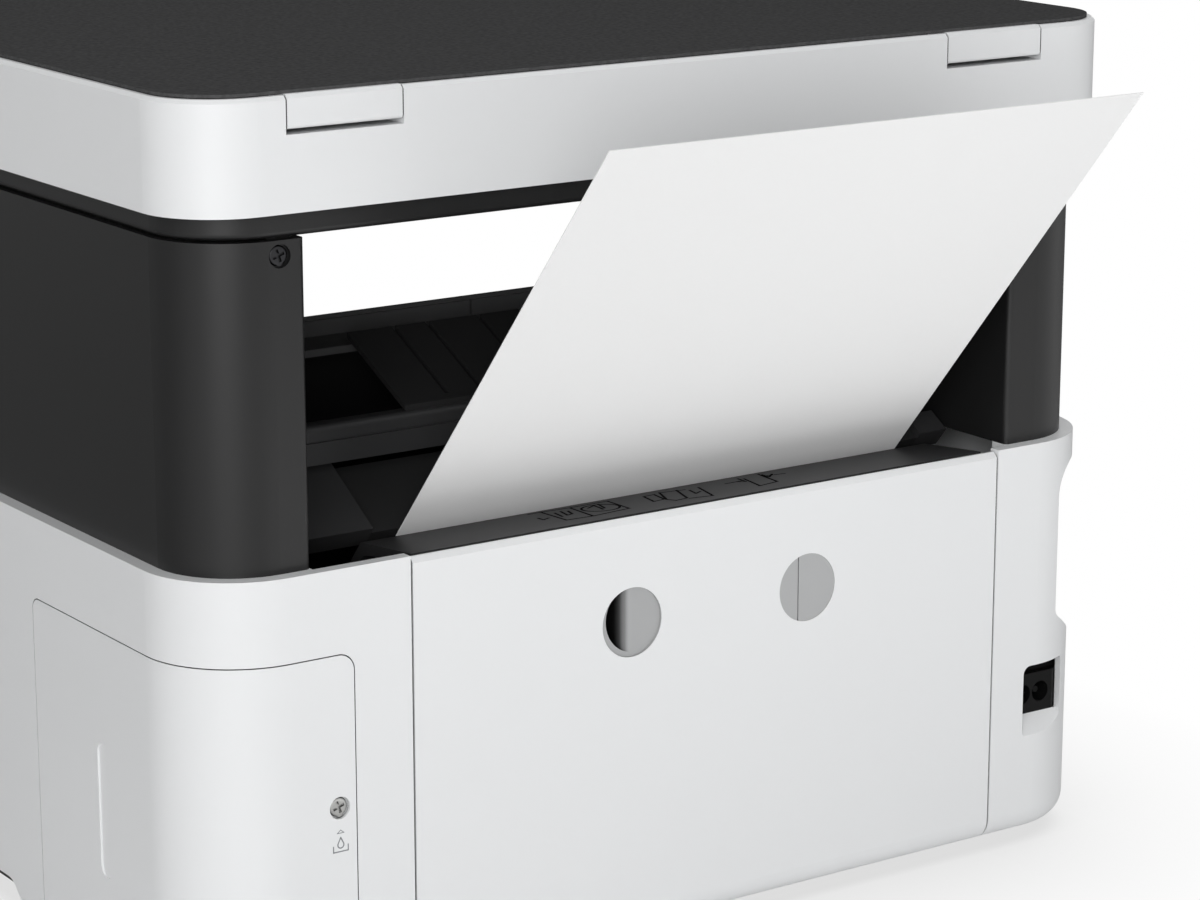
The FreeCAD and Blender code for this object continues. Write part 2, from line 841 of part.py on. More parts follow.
def scanner_frame():
    """White band with a deck for the glass and two notches for the lid's hinge caps."""
    outer = body_prism(0, band_bottom, band_top, band_radius)
    outer = outer.makeChamfer(band_chamfer, level_edges(outer, band_top))
    below = body_prism(band_wall, 0, deck_top - deck_thickness, band_radius)
    above = body_prism(band_wall, deck_top, body_depth, band_radius)
    x = glass_width / 2 - glass_lap
    y = glass_depth / 2 - glass_lap
    frame = cut(outer, below, above, block(-x, x, -y, y, 0, body_depth))
    cheeks = []
    notches = []
    pins = []
    for x0, x1 in cap_spans():
        cheek = block(x0 - cap_seam - cheek_width, x1 + cap_seam + cheek_width,
                      lid_axis_y - barrel_radius - wall,
                      rear - band_wall / 2, deck_top - deck_thickness, band_top - band_chamfer - wall)
        cheeks.append(cheek)
        low = cap_bottom - cap_gap
        notches.append(block(x0 - cap_seam, x1 + cap_seam, rear - 2 * slab_rear, rear + margin, low,
                             body_depth))
        length = x1 - x0 + 2 * (cap_seam + cheek_width)
        pins.append(rod(x0 - cap_seam - cheek_width, lid_axis_y, lid_axis_z, ALONG_X, length,
                        hinge_pin_radius))
    return fuse(cut(fuse(frame, *cheeks), *notches), *pins)


def scanner_glass():
    top = deck_top - deck_thickness
    return block(-glass_width / 2, glass_width / 2, -glass_depth / 2, glass_depth / 2,
                 top - glass_thickness, top)


def sensor_rail():
    return rod(-rail_span, 0, rail_height, ALONG_X, 2 * rail_span, rail_radius)


def sensor_bar():
    """Scanning bar across the glass, with the block that rides on the rail."""
    top = deck_top - deck_thickness - glass_thickness - sensor_top_gap
    x0 = sensor_home - sensor_width
    low = top - sensor_thickness
    bar = block(x0, sensor_home, -sensor_length / 2, sensor_length / 2, low, top)
    lens = block(x0 + sensor_neck, sensor_home - sensor_neck, -sensor_length / 2 + wall,
                 sensor_length / 2 - wall,
                 top - seam, top)
    ride = block(x0, sensor_home, -rail_block, rail_block, rail_height - sensor_neck, low)
    bore = rod(x0, 0, rail_height, ALONG_X, sensor_width, rail_radius + running_fit)
    return cut(fuse(bar, ride), bore, lens)


def lid_panel():
    """Black lid: thin plate with an open edge, on a shallow slab that takes the pad."""
    plate = body_prism(lid_inset, band_top + touch, band_top + touch + lid_edge, band_radius)
    slab = body_prism(slab_inset, slab_bottom, band_top + touch, band_radius)
    hollow = body_prism(slab_inset + lid_shell, slab_bottom - margin, band_top + touch - lid_shell,
                        band_radius)
    half_x = pad_width / 2
    half_y = pad_depth / 2
    land = block(-half_x, half_x, -half_y, half_y, pad_bottom + pad_recess, band_top)
    y0 = rear - slab_rear
    beyond = block(-body_width, body_width, y0, rear, 0, body_depth)
    closing = block(-half_x, half_x, y0 - lid_shell, y0, slab_bottom, band_top)
    return fuse(plate, cut(slab, hollow, beyond), land, closing)


def lid_pad():
    half_x = pad_width / 2
    half_y = pad_depth / 2
    return block(-half_x, half_x, -half_y, half_y, pad_bottom, pad_bottom + pad_recess)


def hinge_caps():
    """White caps at the lid's rear edge, each with a barrel for its hinge pin."""
    caps = []
    top = band_top + touch
    y0 = rear - slab_rear
    inner = rear - cap_plate
    for x0, x1 in cap_spans():
        points = [(rear, cap_bottom), (rear, top - band_chamfer), (rear - band_chamfer, top), (y0, top),
                  (y0, top - cap_plate), (inner, top - cap_plate), (inner, cap_bottom)]
        cap = side_profile(points, x0, x1)
        low = [e for e in cap.Edges if e.BoundBox.XLength > cap_plate and e.BoundBox.YMin > rear - seam]
        low = [e for e in low if e.BoundBox.ZMax < cap_bottom + seam]
        cap = cap.makeFillet(cap_round, low)
        barrel = rod(x0, lid_axis_y, lid_axis_z, ALONG_X, x1 - x0, barrel_radius)
        bore = rod(x0, lid_axis_y, lid_axis_z, ALONG_X, x1 - x0, hinge_pin_radius + running_fit)
        caps.append(cut(fuse(cap, barrel), bore))
    return Part.makeCompound(caps)


def paper_sheet():
    half = sheet_width / 2
    low = along_sheet(sheet_inside, 0)
    low_back = along_sheet(sheet_inside, sheet_thickness)
    high = along_sheet(sheet_inside - sheet_length, 0)
    high_back = along_sheet(sheet_inside - sheet_length, sheet_thickness)
    return side_profile([low, low_back, high_back, high], feed_centre - half, feed_centre + half)


def feed_ramp():
    """Front wall of the rear slot: a ramp, then a guide along the sheet, with end cheeks."""
    tip = along_sheet(-ramp_tip_back, -guide_gap)
    low = along_sheet(ramp_drop, -guide_gap)
    low_back = along_sheet(ramp_drop, -guide_gap - guide_plate)
    bend = along_sheet(2 * guide_plate, -guide_gap - guide_plate)
    top = (ramp_top_y, ramp_top_z)
    top_back = (ramp_top_y, ramp_top_z - guide_plate)
    x0 = feed_centre - path_half
    x1 = feed_centre + path_half
    ramp = side_profile([top, tip, low, low_back, bend, top_back], x0, x1)
    end = cheek_inner - touch
    raised = (ramp_top_y, ramp_top_z + cheek_rise)
    foot = along_sheet(cheek_rise, -guide_gap)
    block_points = [raised, along_sheet(-ramp_tip_back - wall, -guide_gap), foot, (ramp_top_y, foot[1])]
    right = side_profile(block_points, x1, end)
    left = side_profile(block_points, -end, x0)
    middle = ((raised[0] + tip[0]) / 2, (raised[1] + tip[1]) / 2)
    scoop = rod(-end, middle[0], middle[1], ALONG_X, end + x0 - wall, boss_radius)
    return fuse(ramp, right, cut(left, scoop))


def main_frame():
    """Steel plate behind the carriage with a cheek at each end, drilled for the shafts."""
    plate = block(-cheek_inner, cheek_inner, frame_plate_y, frame_plate_y + plate_thickness, frame_low,
                  beam_low)
    points = [(-frame_front, floor_top), (frame_rear, floor_top), (frame_rear, frame_rear_top),
              (beam_rear, beam_low),
              (frame_plate_y, beam_low), (frame_plate_y, frame_cheek_top), (-frame_front, frame_cheek_top)]
    cheeks = [side_profile(points, cheek_inner, cheek_inner + plate_thickness),
              side_profile(points, -cheek_inner - plate_thickness, -cheek_inner)]
    across = 2 * (cheek_inner + plate_thickness + margin)
    x0 = -across / 2
    tools = [rod(x0, shaft_y, shaft_z, ALONG_X, across, shaft_radius)]
    for y in (feed_roller_y, exit_roller_y):
        tools.append(rod(x0, y, roller_z, ALONG_X, across, journal_radius + running_fit))
    tools.append(rod(x0, idler_y, roller_z, ALONG_X, -x0, journal_radius + running_fit))
    tools.append(rod(x0, pick_y, pick_z, ALONG_X, across, journal_radius + running_fit))
    y0 = belt_span()[0]
    ends = (-pulley_across, pulley_across)
    studs = [rod(x, y0, belt_z, ALONG_Y, frame_plate_y - y0, pulley_bore) for x in ends]
    return fuse(cut(fuse(plate, *cheeks), *tools), *studs)


def frame_beam():
    """Angle across the frame: an upright face with a lip, a joint in the face, and a foot to the rear."""
    lip = beam_front + beam_lip_width
    foot = beam_low + beam_foot
    points = [(beam_front, beam_low), (beam_rear, beam_low), (beam_rear, foot), (beam_face, foot),
              (beam_face, beam_top), (lip, beam_top), (lip, beam_top + beam_lip),
              (beam_front, beam_top + beam_lip)]
    angle = side_profile(points, -cavity_left + touch, cavity_right - touch)
    x1 = beam_joint + beam_joint_width
    return cut(angle, block(beam_joint, x1, beam_face - beam_joint_width, beam_rear, foot, tower_top))


def slat_line():
    """Upper and lower end of the sloping cover, as (y, z)."""
    return (beam_rear, slat_top), (bar_front + 2 * slat_plate, bar_top)


def mechanism_cover():
    """Sloping cover between the beam and the guide bar, grooved into slats of three widths."""
    (y0, z0), (y1, z1) = slat_line()
    points = [(y0, z0), (y1, z1 + slat_plate), (y1, z1), (y0, z0 - slat_plate)]
    x0 = -cheek_inner + touch
    cover = side_profile(points, x0, slat_edge)
    low = z1 + slat_plate - slat_groove_depth
    profile = [(y0 - margin, z0 - slat_groove_depth), (y1 - wall, low), (y1 - wall, z0),
               (y0 - margin, z0 + margin)]
    grooves = []
    x = slat_edge
    count = 0
    while x > x0 + 2 * max(slat_widths):
        x -= slat_widths[count % len(slat_widths)]
        grooves.append(side_profile(profile, x - slat_groove, x))
        count += 1
    return cut(cover, *grooves)


def guide_bar():
    """Cross bar behind the cover with a rounded upper edge and a groove along its rear face."""
    x0 = -cheek_inner
    x1 = cheek_inner
    body = block(x0, x1, bar_front, bar_rear, bar_low, bar_top)
    edges = [e for e in level_edges(body, bar_top) if e.BoundBox.YMin > bar_front]
    body = body.makeFillet(bar_round, [e for e in edges if e.BoundBox.XLength > wall])
    top = bar_top - bar_step
    return cut(body, block(x0, x1, bar_rear - bar_groove, bar_rear, top - bar_groove, top))


def platen():
    """Ribbed bed under the print head."""
    x0 = -cheek_inner + touch
    x1 = cap_station_inner - margin
    bed = block(x0, x1, platen_front, platen_rear, platen_low, platen_top - platen_rib)
    ribs = []
    x = x0 + platen_rib_pitch / 2
    while x < x1 - platen_rib_width:
        ribs.append(block(x, x + platen_rib_width, platen_front, platen_rear, platen_top - platen_rib,
                          platen_top))
        x += platen_rib_pitch
    return fuse(bed, *ribs)


def carriage_shaft():
    length = 2 * (cheek_inner + plate_thickness)
    return rod(-length / 2, shaft_y, shaft_z, ALONG_X, length, shaft_radius)


def print_carriage():
    """Carriage with its print head below and the bore for the shaft."""
    x0 = carriage_home - carriage_width / 2
    x1 = carriage_home + carriage_width / 2
    shell = rounded(x0, x1, carriage_front, carriage_rear, carriage_round, carriage_low, carriage_top)
    head = block(x0 + head_inset, x1 - head_inset, carriage_front + head_inset,
                 carriage_rear - 2 * head_inset,
                 head_low, carriage_low)
    bore = rod(x0, shaft_y, shaft_z, ALONG_X, carriage_width, shaft_radius + running_fit)
    return cut(fuse(shell, head), bore)


def belt_span():
    y1 = frame_plate_y - touch
    return y1 - belt_width, y1


def drive_belt():
    """Toothless loop round both pulleys."""
    y0, y1 = belt_span()
    loops = []
    for grow in (running_fit + belt_thickness, running_fit):
        r = pulley_radius + grow
        loop = block(-pulley_across, pulley_across, y0, y1, belt_z - r, belt_z + r)
        ends = [rod(x, y0, belt_z, ALONG_Y, y1 - y0, r) for x in (-pulley_across, pulley_across)]
        loops.append(fuse(loop, *ends))
    return cut(loops[0], loops[1])


def pulley(x):
    y0, y1 = belt_span()
    wheel = rod(x, y0, belt_z, ALONG_Y, y1 - y0, pulley_radius)
    mark = block(x - pulley_radius, x + pulley_radius, y0, y0 + seam, belt_z - seam, belt_z + seam)
    bore = rod(x, y0, belt_z, ALONG_Y, y1 - y0, pulley_bore + running_fit)
    return cut(wheel, bore, mark)


def carriage_motor():
    """Motor behind the frame plate, in line with the drive pulley."""
    depth = 2 * carriage_motor_radius
    return rod(pulley_across, frame_plate_y + plate_thickness, belt_z, ALONG_Y, depth,
               carriage_motor_radius)


def cap_station():
    """Capping unit under the parked carriage, with a raised lip round the cap."""
    x1 = cheek_inner - touch
    box = block(cap_station_inner, x1, platen_front, platen_rear - margin, platen_low - 2 * wall,
                cap_station_top)
    well = block(cap_station_inner + 2 * wall, x1 - 2 * wall, platen_front + 2 * wall,
                 platen_rear - 6 * wall,
                 cap_station_top - wall, cap_station_top)
    return cut(box, well)


def gear(x, y, z, teeth, phase, width):
    """Spur gear on the X axis with straight-sided teeth and working backlash."""
    pitch = gear_module * teeth / 2
    outer = pitch + tooth_height * gear_module
    root = pitch - tooth_root * gear_module
    step = 2 * math.pi / teeth
    foot = tooth_foot_share
    tip = tooth_tip_share
    flanks = ((root, -foot), (outer, -tip), (outer, tip), (root, foot))
    points = []
    for i in range(teeth):
        middle = math.radians(phase) + i * step
        for radius, share in flanks:
            a = middle + share * step
            points.append(V(x, y + radius * math.cos(a), z + radius * math.sin(a)))
    face = Part.Face(Part.makePolygon(points + points[:1]))
    return face.extrude(V(width, 0, 0))


def geared_roller(y, radius, phase):
    """Paper roller between the cheeks with journals, and its gear outside the left cheek."""
    inside = cheek_inner - touch
    roller = rod(-inside, y, roller_z, ALONG_X, 2 * inside, radius)
    journal = rod(gear_inner_face, y, roller_z, ALONG_X, cheek_inner + plate_thickness - gear_inner_face,
                  journal_radius)
    return fuse(roller, journal, gear(gear_inner_face, y, roller_z, gear_teeth, phase, gear_width))


def idler_gear():
    stub = rod(gear_inner_face, idler_y, roller_z, ALONG_X, -cheek_inner - gear_inner_face, journal_radius)
    return fuse(stub, gear(gear_inner_face, idler_y, roller_z, gear_teeth, 180.0 / gear_teeth, gear_width))


def pinion_place():
    a = math.radians(pinion_angle)
    r = gear_radius + pinion_radius
    return feed_roller_y + r * math.cos(a), roller_z + r * math.sin(a)


def motor_pinion():
    y, z = pinion_place()
    phase = pinion_angle + 180 + 180.0 / pinion_teeth
    bore = rod(gear_inner_face, y, z, ALONG_X, gear_width, pulley_bore + running_fit)
    return cut(gear(gear_inner_face, y, z, pinion_teeth, phase, gear_width), bore)


def feed_motor():
    """Can motor outside the gear train, held to the left cheek by three posts."""
    y, z = pinion_place()
    near = gear_inner_face - touch
    can = rod(near - motor_length, y, z, ALONG_X, motor_length, motor_radius)
    spindle = rod(near, y, z, ALONG_X, gear_width + touch, pulley_bore)
    posts = []
    for turn in (-90, 0, 90):
        a = math.radians(pinion_angle + turn)
        r = motor_radius - motor_post_radius - seam
        length = -cheek_inner - plate_thickness - near
        posts.append(rod(near, y + r * math.cos(a), z + r * math.sin(a), ALONG_X, length,
                         motor_post_radius))
    return fuse(can, spindle, *posts)


def pick_roller():
    """Pick-up roller over the cassette on its shaft."""
    length = 2 * (cheek_inner + plate_thickness)
    shaft = rod(-length / 2, pick_y, pick_z, ALONG_X, length, journal_radius)
    tyre = rod(feed_centre - pick_width / 2, pick_y, pick_z, ALONG_X, pick_width, pick_radius)
    return shaft.fuse(tyre)


def paper_cassette():
    """Open paper tray with stepped side walls, a low rear wall and the white front panel's carrier."""
    x0 = feed_centre - cassette_half
    x1 = feed_centre + cassette_half
    y0 = front + panel_thickness
    tub = block(x0, x1, y0, cassette_rear, cassette_low, cassette_high_wall)
    w = cassette_wall
    well = block(x0 + w, x1 - w, y0 + w, cassette_rear - w, cassette_low + cassette_floor, body_depth)
    step = block(x0, x1, cassette_step_y, cassette_rear, cassette_low_wall, body_depth)
    end = block(x0 + w, x1 - w, cassette_rear - 2 * w, cassette_rear + margin, cassette_end_wall,
                body_depth)
    grip = block(feed_centre - handle_half, feed_centre + handle_half, y0, y0 + w, 0,
                 panel_low + handle_height + w)
    return cut(tub, well, step, end, grip)


def cassette_panel():
    """White front of the cassette, rounded at the foot like the body, with a finger notch."""
    x0 = feed_centre - panel_half
    x1 = feed_centre + panel_half
    panel = block(x0, x1, front, front + panel_thickness, panel_low, panel_top).common(body_outer())
    notch = block(feed_centre - handle_half, feed_centre + handle_half, front - margin, 0, 0,
                  panel_low + handle_height)
    edges = [e for e in notch.Edges if e.BoundBox.YLength > wall and e.BoundBox.ZMin > panel_low]
    return cut(panel, notch.makeFillet(handle_round, edges))


def width_guide(side):
    """Upright edge guide on a foot that slides across the cassette's floor."""
    x = feed_centre + side * (sheet_width / 2 + touch)
    outer = x + side * wall
    foot_end = x - side * guide_foot
    low = cassette_low + cassette_floor + touch
    fin = block(min(x, outer), max(x, outer), width_guide_front, width_guide_rear, low,
                low + width_guide_height)
    y0 = width_guide_front + guide_foot
    y1 = width_guide_rear - guide_foot
    foot = block(min(outer, foot_end), max(outer, foot_end), y0, y1, low, low + wall)
    return fuse(fin, foot)


def end_guide():
    """Stop for the paper's front edge."""
    low = cassette_low + cassette_floor + touch
    x0 = feed_centre - end_guide_half
    x1 = feed_centre + end_guide_half
    fin = block(x0, x1, end_guide_y, end_guide_y + wall, low, low + width_guide_height)
    foot = block(x0, x1, end_guide_y, end_guide_y + guide_foot, low, low + wall)
    return fuse(fin, foot)


def output_bay():
    """Black liner of the paper output: floor, walls, tray rails and a screen before the carriage."""
    top = rim_height - wall
    liner = block(-bay_left - wall, bay_right + wall, front + wall, -bay_rear, bay_floor_low, top)
    well = block(-bay_left, bay_right, front, 0, bay_floor_low + bay_floor, body_depth)
    liner = cut(liner, well, above_shoulder(wall))
    rails = []
    for x0, x1, lip in ((-bay_left, -bay_left + wall, wall), (bay_right - wall, bay_right, -wall)):
        y0 = front + 2 * wall
        y1 = -bay_rear
        rails.append(block(x0, x1, y0, y1, tray_rail_low, bay_floor_low))
        rails.append(block(x0 + lip, x1 + lip, y0, y1, tray_rail_low, tray_rail_low + tray_rail_lip))
    y0 = -bay_rear - wall
    lean_back = 3 * wall
    back = [(y0, bay_floor_low), (-bay_rear, bay_floor_low), (-bay_rear, guard_fold),
            (-bay_rear + lean_back, guard_top),
            (y0 + lean_back, guard_top), (y0, guard_fold)]
    screen = side_profile(back, -cavity_left + touch, cavity_right - touch)
    mouth = block(-bay_left, bay_right, y0, 0, bay_floor_low + bay_floor, guard_low)
    return fuse(liner, cut(screen, mouth), *rails)


def output_tray():
    """Plate that draws out under the bay, with a lip across its front."""
    x0 = -bay_left + wall + touch
    x1 = bay_right - wall - touch
    plate = block(x0, x1, front + wall, -tray_rear, tray_low, tray_top)
    lip = block(-bay_left + touch, bay_right - touch, front, front + wall - touch, tray_lip_low,
                bay_floor_low + bay_floor)
    joint = block(x0, x1, front + wall - touch, front + wall, tray_low, tray_top)
    return fuse(plate, lip, joint)


def ink_tank():
    """Tank inside the right front corner, with a filler neck and a level window that shows in the front."""
    tank = block(tank_inner, tank_outer, front, -tank_rear, floor_top, tank_top)
    tank = tank.common(body_prism(bottom_round + seam, floor_top, tank_top))
    w = tank_wall
    well = block(tank_inner + w, tank_outer, front, -tank_rear - w, floor_top + w, tank_top - w)
    tank = cut(tank, well.common(body_prism(bottom_round + seam + w, floor_top, tank_top)))
    neck = rod(neck_across, neck_y, tank_top, ALONG_Z, neck_height, neck_radius)
    bore = rod(neck_across, neck_y, tank_top - neck_height, ALONG_Z, 2 * neck_height, neck_bore)
    window = block(window_inner + touch, window_outer - touch, front + seam, front + 2 * flange,
                   window_low + touch,
                   window_high - touch)
    return cut(fuse(tank, neck, window), bore)


def ink_cap():
    """Filler cap with a grip bar."""
    z = tank_top + neck_height
    disc = rod(neck_across, neck_y, z, ALONG_Z, ink_cap_height, ink_cap_radius)
    plug = rod(neck_across, neck_y, z - neck_height / 2, ALONG_Z, neck_height / 2, neck_bore - touch)
    bar = block(neck_across - ink_cap_radius, neck_across + ink_cap_radius, neck_y - wall, neck_y + wall,
                z + ink_cap_height, z + ink_cap_height + wall)
    return fuse(disc, plug, bar)


def slope_point(y, depth):
    """Point under the right shoulder, at a depth measured square to the slope."""
    a = math.atan2(rim_height - shoulder_front_height, half_depth - shoulder_start)
    return y + depth * math.sin(a), shoulder_height(y) - depth * math.cos(a)


def flap_axis():
    return slope_point(-flap_rear, flap_barrel)


def flap_gap(grow):
    """Opening of the ink flap through the right shoulder."""
    return block(flap_inner - grow, flap_outer + grow, -flap_front - grow,
                 flap_axis()[0] + flap_barrel + grow,
                 tank_top, rim_height + margin)


def flap_bearings():
    """Blocks under the shoulder that take the flap's pins."""
    y, z = flap_axis()
    found = []
    for side, edge in ((-1, flap_inner), (1, flap_outer)):
        near = edge + side * seam
        x0, x1 = sorted((near, near + side * flap_pin_length))
        bearing = block(x0, x1, y - flap_barrel, y + flap_barrel, z - flap_barrel, z + flap_barrel / 2)
        bore = rod(x0, y, z, ALONG_X, x1 - x0, flap_pin_radius + running_fit)
        found.append((bearing, bore))
    return found


def ink_flap():
    """Black flap in the right shoulder over the filler, with its hinge barrel and pins."""
    low = -flap_front
    y, z = flap_axis()
    points = [slope_point(low, 0), slope_point(-flap_rear, 0), slope_point(-flap_rear, flap_thickness),
              slope_point(low, flap_thickness)]
    width = flap_outer - flap_inner
    barrel = rod(flap_inner, y, z, ALONG_X, width, flap_barrel)
    reach = flap_pin_length - touch
    pin = rod(flap_inner - reach, y, z, ALONG_X, width + 2 * reach, flap_pin_radius)
    return fuse(side_profile(points, flap_inner, flap_outer), barrel, pin)


def power_supply():
    return block(-supply_outer, -supply_inner, supply_front, supply_rear, floor_top, supply_top)


def mains_inlet():
    """Two-pin appliance inlet: a black block behind the cut-out, stepped back along its top."""
    y1 = rear - inlet_set_back
    y0 = y1 - inlet_body_depth
    x0 = -inlet_outer - scoop_wall
    x1 = -inlet_inner + scoop_wall
    step = inlet_high - inlet_step
    body = block(x0, x1, y0, y1, inlet_low, inlet_high + scoop_wall)
    body = cut(body, block(x0, x1, y1 - inlet_step_depth, y1, step, inlet_high + scoop_wall))
    body = body.common(body_prism(wall + touch, 0, rim_height))
    zm = (inlet_low + step) / 2
    wells = []
    pins = []
    for shift in (-inlet_pin_spread, inlet_pin_spread):
        x = shift - inlet_well_across
        wells.append(rod(x, y1 - inlet_well, zm, ALONG_Y, inlet_well, inlet_well_radius))
        pins.append(rod(x, y1 - inlet_well, zm, ALONG_Y, inlet_well - wall, inlet_pin_radius))
    return fuse(cut(body, *wells), *pins)


def main_board():
    """Circuit board inside the hand recess, notched for the data socket."""
    x0 = -half_width + recess_depth + wall + touch
    x1 = x0 + board_thickness
    board = block(x0, x1, board_front, board_rear, recess_low + board_gap,
                  recess_high - board_gap - recess_low_round)
    half_y = usb_width / 2
    half_z = usb_height / 2
    return cut(board, block(x0, x1, usb_y - half_y, usb_y + half_y, usb_z - half_z, usb_z + half_z))


def usb_port():
    """Square socket that looks out through the hand recess."""
    x0 = -half_width + recess_depth + seam
    y0 = usb_y - usb_width / 2
    z0 = usb_z - usb_height / 2
    w = usb_wall
    shell = block(x0, x0 + usb_length, y0, y0 + usb_width, z0, z0 + usb_height)
    well = block(x0, x0 + usb_length - w, y0 + w, y0 + usb_width - w, z0 + w, z0 + usb_height - w)
    return cut(shell, well)


def waste_box():
    """Maintenance box that takes the waste ink, behind the corner cover."""
    box = block(waste_inner, waste_outer, waste_front, waste_rear, floor_top, waste_top)
    return box.common(body_prism(bottom_round + seam, floor_top, waste_top))


def control_panel():
    """Black panel on the bridge: wells for the buttons, a seat for the display, and pins for its hinge."""
    y0 = control_face
    y1 = control_face + control_thickness
    panel = block(control_left, control_right, y0, y1, control_low, control_high)
    edges = [e for e in panel.Edges if e.BoundBox.YLength > wall]
    panel = panel.makeFillet(control_round, edges)
    back = [e for e in level_edges(panel, control_high) if e.BoundBox.YMin > y1 - seam]
    panel = panel.makeFillet(control_axis_drop, back)
    tools = [button_solid(name, button_gap, button_well) for name in BUTTONS]
    for x in (control_left, control_right - control_ear - seam):
        bore = control_pin_radius + running_fit
        tools.append(rod(x, control_axis_y, control_axis_z, ALONG_X, control_ear + seam, bore))
    x0 = display_across - display_width / 2
    z0 = display_up - display_height / 2
    tools.append(block(x0, x0 + display_width, y0, y0 + display_depth, z0, z0 + display_height))
    return cut(panel, *tools)


def display():
    x0 = display_across - display_width / 2
    z0 = display_up - display_height / 2
    return block(x0, x0 + display_width, control_face, control_face + display_depth, z0,
                 z0 + display_height)


def button_solid(name, grow, depth):
    x, z, radius = BUTTONS[name]
    return rod(x, control_face - button_rise, z, ALONG_Y, button_rise + depth, radius + grow)


def button(name):
    cap = button_solid(name, 0, button_well - button_travel - touch)
    if name == "arrow_pad":
        return cut(cap, button_solid("ok_button", button_gap, button_well))
    return cap


def place(shape):
    moved = shape.copy()
    moved.translate(V(0, -origin_y, 0))
    return moved


def build():
    right_housing, left_housing = housings()
    parts = {
        "right_housing": right_housing,
        "left_housing": left_housing,
        "rear_cover": rear_cover(),
        "rear_guide": rear_guide(),
        "maintenance_cover": service_cover(),
        "maintenance_screw": service_screw(),
        "base_chassis": base_chassis(),
        "rubber_feet": rubber_feet(),
        "upper_cabinet": upper_cabinet(),
        "cabinet_screws": tower_screws(),
        "scanner_base": scanner_base(),
        "scanner_frame": scanner_frame(),
        "scanner_glass": scanner_glass(),
        "sensor_rail": sensor_rail(),
        "sensor_bar": sensor_bar(),
        "lid_panel": lid_panel(),
        "lid_pad": lid_pad(),
        "hinge_caps": hinge_caps(),
        "paper_sheet": paper_sheet(),
        "feed_ramp": feed_ramp(),
        "main_frame": main_frame(),
        "frame_beam": frame_beam(),
        "mechanism_cover": mechanism_cover(),
        "guide_bar": guide_bar(),
        "platen": platen(),
        "carriage_shaft": carriage_shaft(),
        "print_carriage": print_carriage(),
        "drive_belt": drive_belt(),
        "drive_pulley": pulley(pulley_across),
        "idler_pulley": pulley(-pulley_across),
        "carriage_motor": carriage_motor(),
        "cap_station": cap_station(),
        "feed_roller": geared_roller(feed_roller_y, feed_roller_radius, 0),
        "exit_roller": geared_roller(exit_roller_y, exit_roller_radius, 0),
        "idler_gear": idler_gear(),
        "motor_pinion": motor_pinion(),
        "feed_motor": feed_motor(),
        "pick_roller": pick_roller(),
        "paper_cassette": paper_cassette(),
        "cassette_panel": cassette_panel(),
        "right_width_guide": width_guide(1),
        "left_width_guide": width_guide(-1),
        "end_guide": end_guide(),
        "output_bay": output_bay(),
        "output_tray": output_tray(),
        "ink_tank": ink_tank(),
        "ink_cap": ink_cap(),
        "ink_flap": ink_flap(),
        "power_supply": power_supply(),
        "mains_inlet": mains_inlet(),
        "main_board": main_board(),
        "usb_port": usb_port(),
        "maintenance_box": waste_box(),
        "control_panel": control_panel(),
        "display": display(),
    }
    for name in BUTTONS:
        parts[name] = button(name)
    return parts


os.makedirs("parts", exist_ok=True)
for node, shape in build().items():
    place(shape).exportStep("parts/" + node + ".step")
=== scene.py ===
import math
import bpy
import bmesh
from mathutils import Matrix, Vector
from bpy.props import FloatProperty, FloatVectorProperty, PointerProperty


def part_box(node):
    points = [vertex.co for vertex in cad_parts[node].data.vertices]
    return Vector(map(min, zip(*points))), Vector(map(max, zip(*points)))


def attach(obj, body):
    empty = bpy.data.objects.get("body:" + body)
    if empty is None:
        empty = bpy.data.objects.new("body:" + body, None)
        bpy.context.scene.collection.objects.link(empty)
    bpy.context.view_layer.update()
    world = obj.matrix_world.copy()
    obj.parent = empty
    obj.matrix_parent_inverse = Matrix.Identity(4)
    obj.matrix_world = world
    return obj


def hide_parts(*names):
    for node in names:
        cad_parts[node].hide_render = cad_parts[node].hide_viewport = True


bl_info = {
    "name": "Inkjet printer finish",
    "version": (1, 0, 0),
    "blender": (4, 5, 0),
    "location": "View3D > Sidebar > Printer",
    "description": "Plastics, metal, paper, icons, screws and studio for an inkjet printer",
    "category": "Object",
}

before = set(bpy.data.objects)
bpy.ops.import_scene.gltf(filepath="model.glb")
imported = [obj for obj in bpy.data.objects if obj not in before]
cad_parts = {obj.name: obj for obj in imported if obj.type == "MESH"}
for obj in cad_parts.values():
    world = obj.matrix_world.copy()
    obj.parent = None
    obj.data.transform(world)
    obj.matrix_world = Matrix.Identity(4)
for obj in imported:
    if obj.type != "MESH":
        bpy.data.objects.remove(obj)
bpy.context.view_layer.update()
MM = 0.001

# Colours of the small and hidden pieces.
BEAM_BLACK = (0.055, 0.055, 0.056)
SOCKET_BLACK = (0.006, 0.006, 0.006)
GUIDE_GREY = (0.12, 0.12, 0.125)
GEAR_WHITE = (0.62, 0.62, 0.58)
PAD_WHITE = (0.80, 0.80, 0.79)
GLASS_TINT = (0.86, 0.93, 0.91)
ZINC_GREY = (0.52, 0.53, 0.55)
PAINT_BLACK = (0.006, 0.006, 0.0062)
SHAFT_STEEL = (0.62, 0.63, 0.65)
MOTOR_STEEL = (0.5, 0.5, 0.52)
RUBBER_BLACK = (0.02, 0.02, 0.02)
BOARD_GREEN = (0.02, 0.12, 0.05)
TANK_TINT = (0.55, 0.60, 0.62)
PANEL_BLACK = (0.012, 0.012, 0.013)
SCREEN_BLACK = (0.010, 0.013, 0.018)
BUTTON_GREY = (0.10, 0.10, 0.105)
STOP_ORANGE = (0.55, 0.16, 0.03)
START_GREEN = (0.05, 0.28, 0.09)
LEDGE_PRINT = (0.006, 0.006, 0.006)
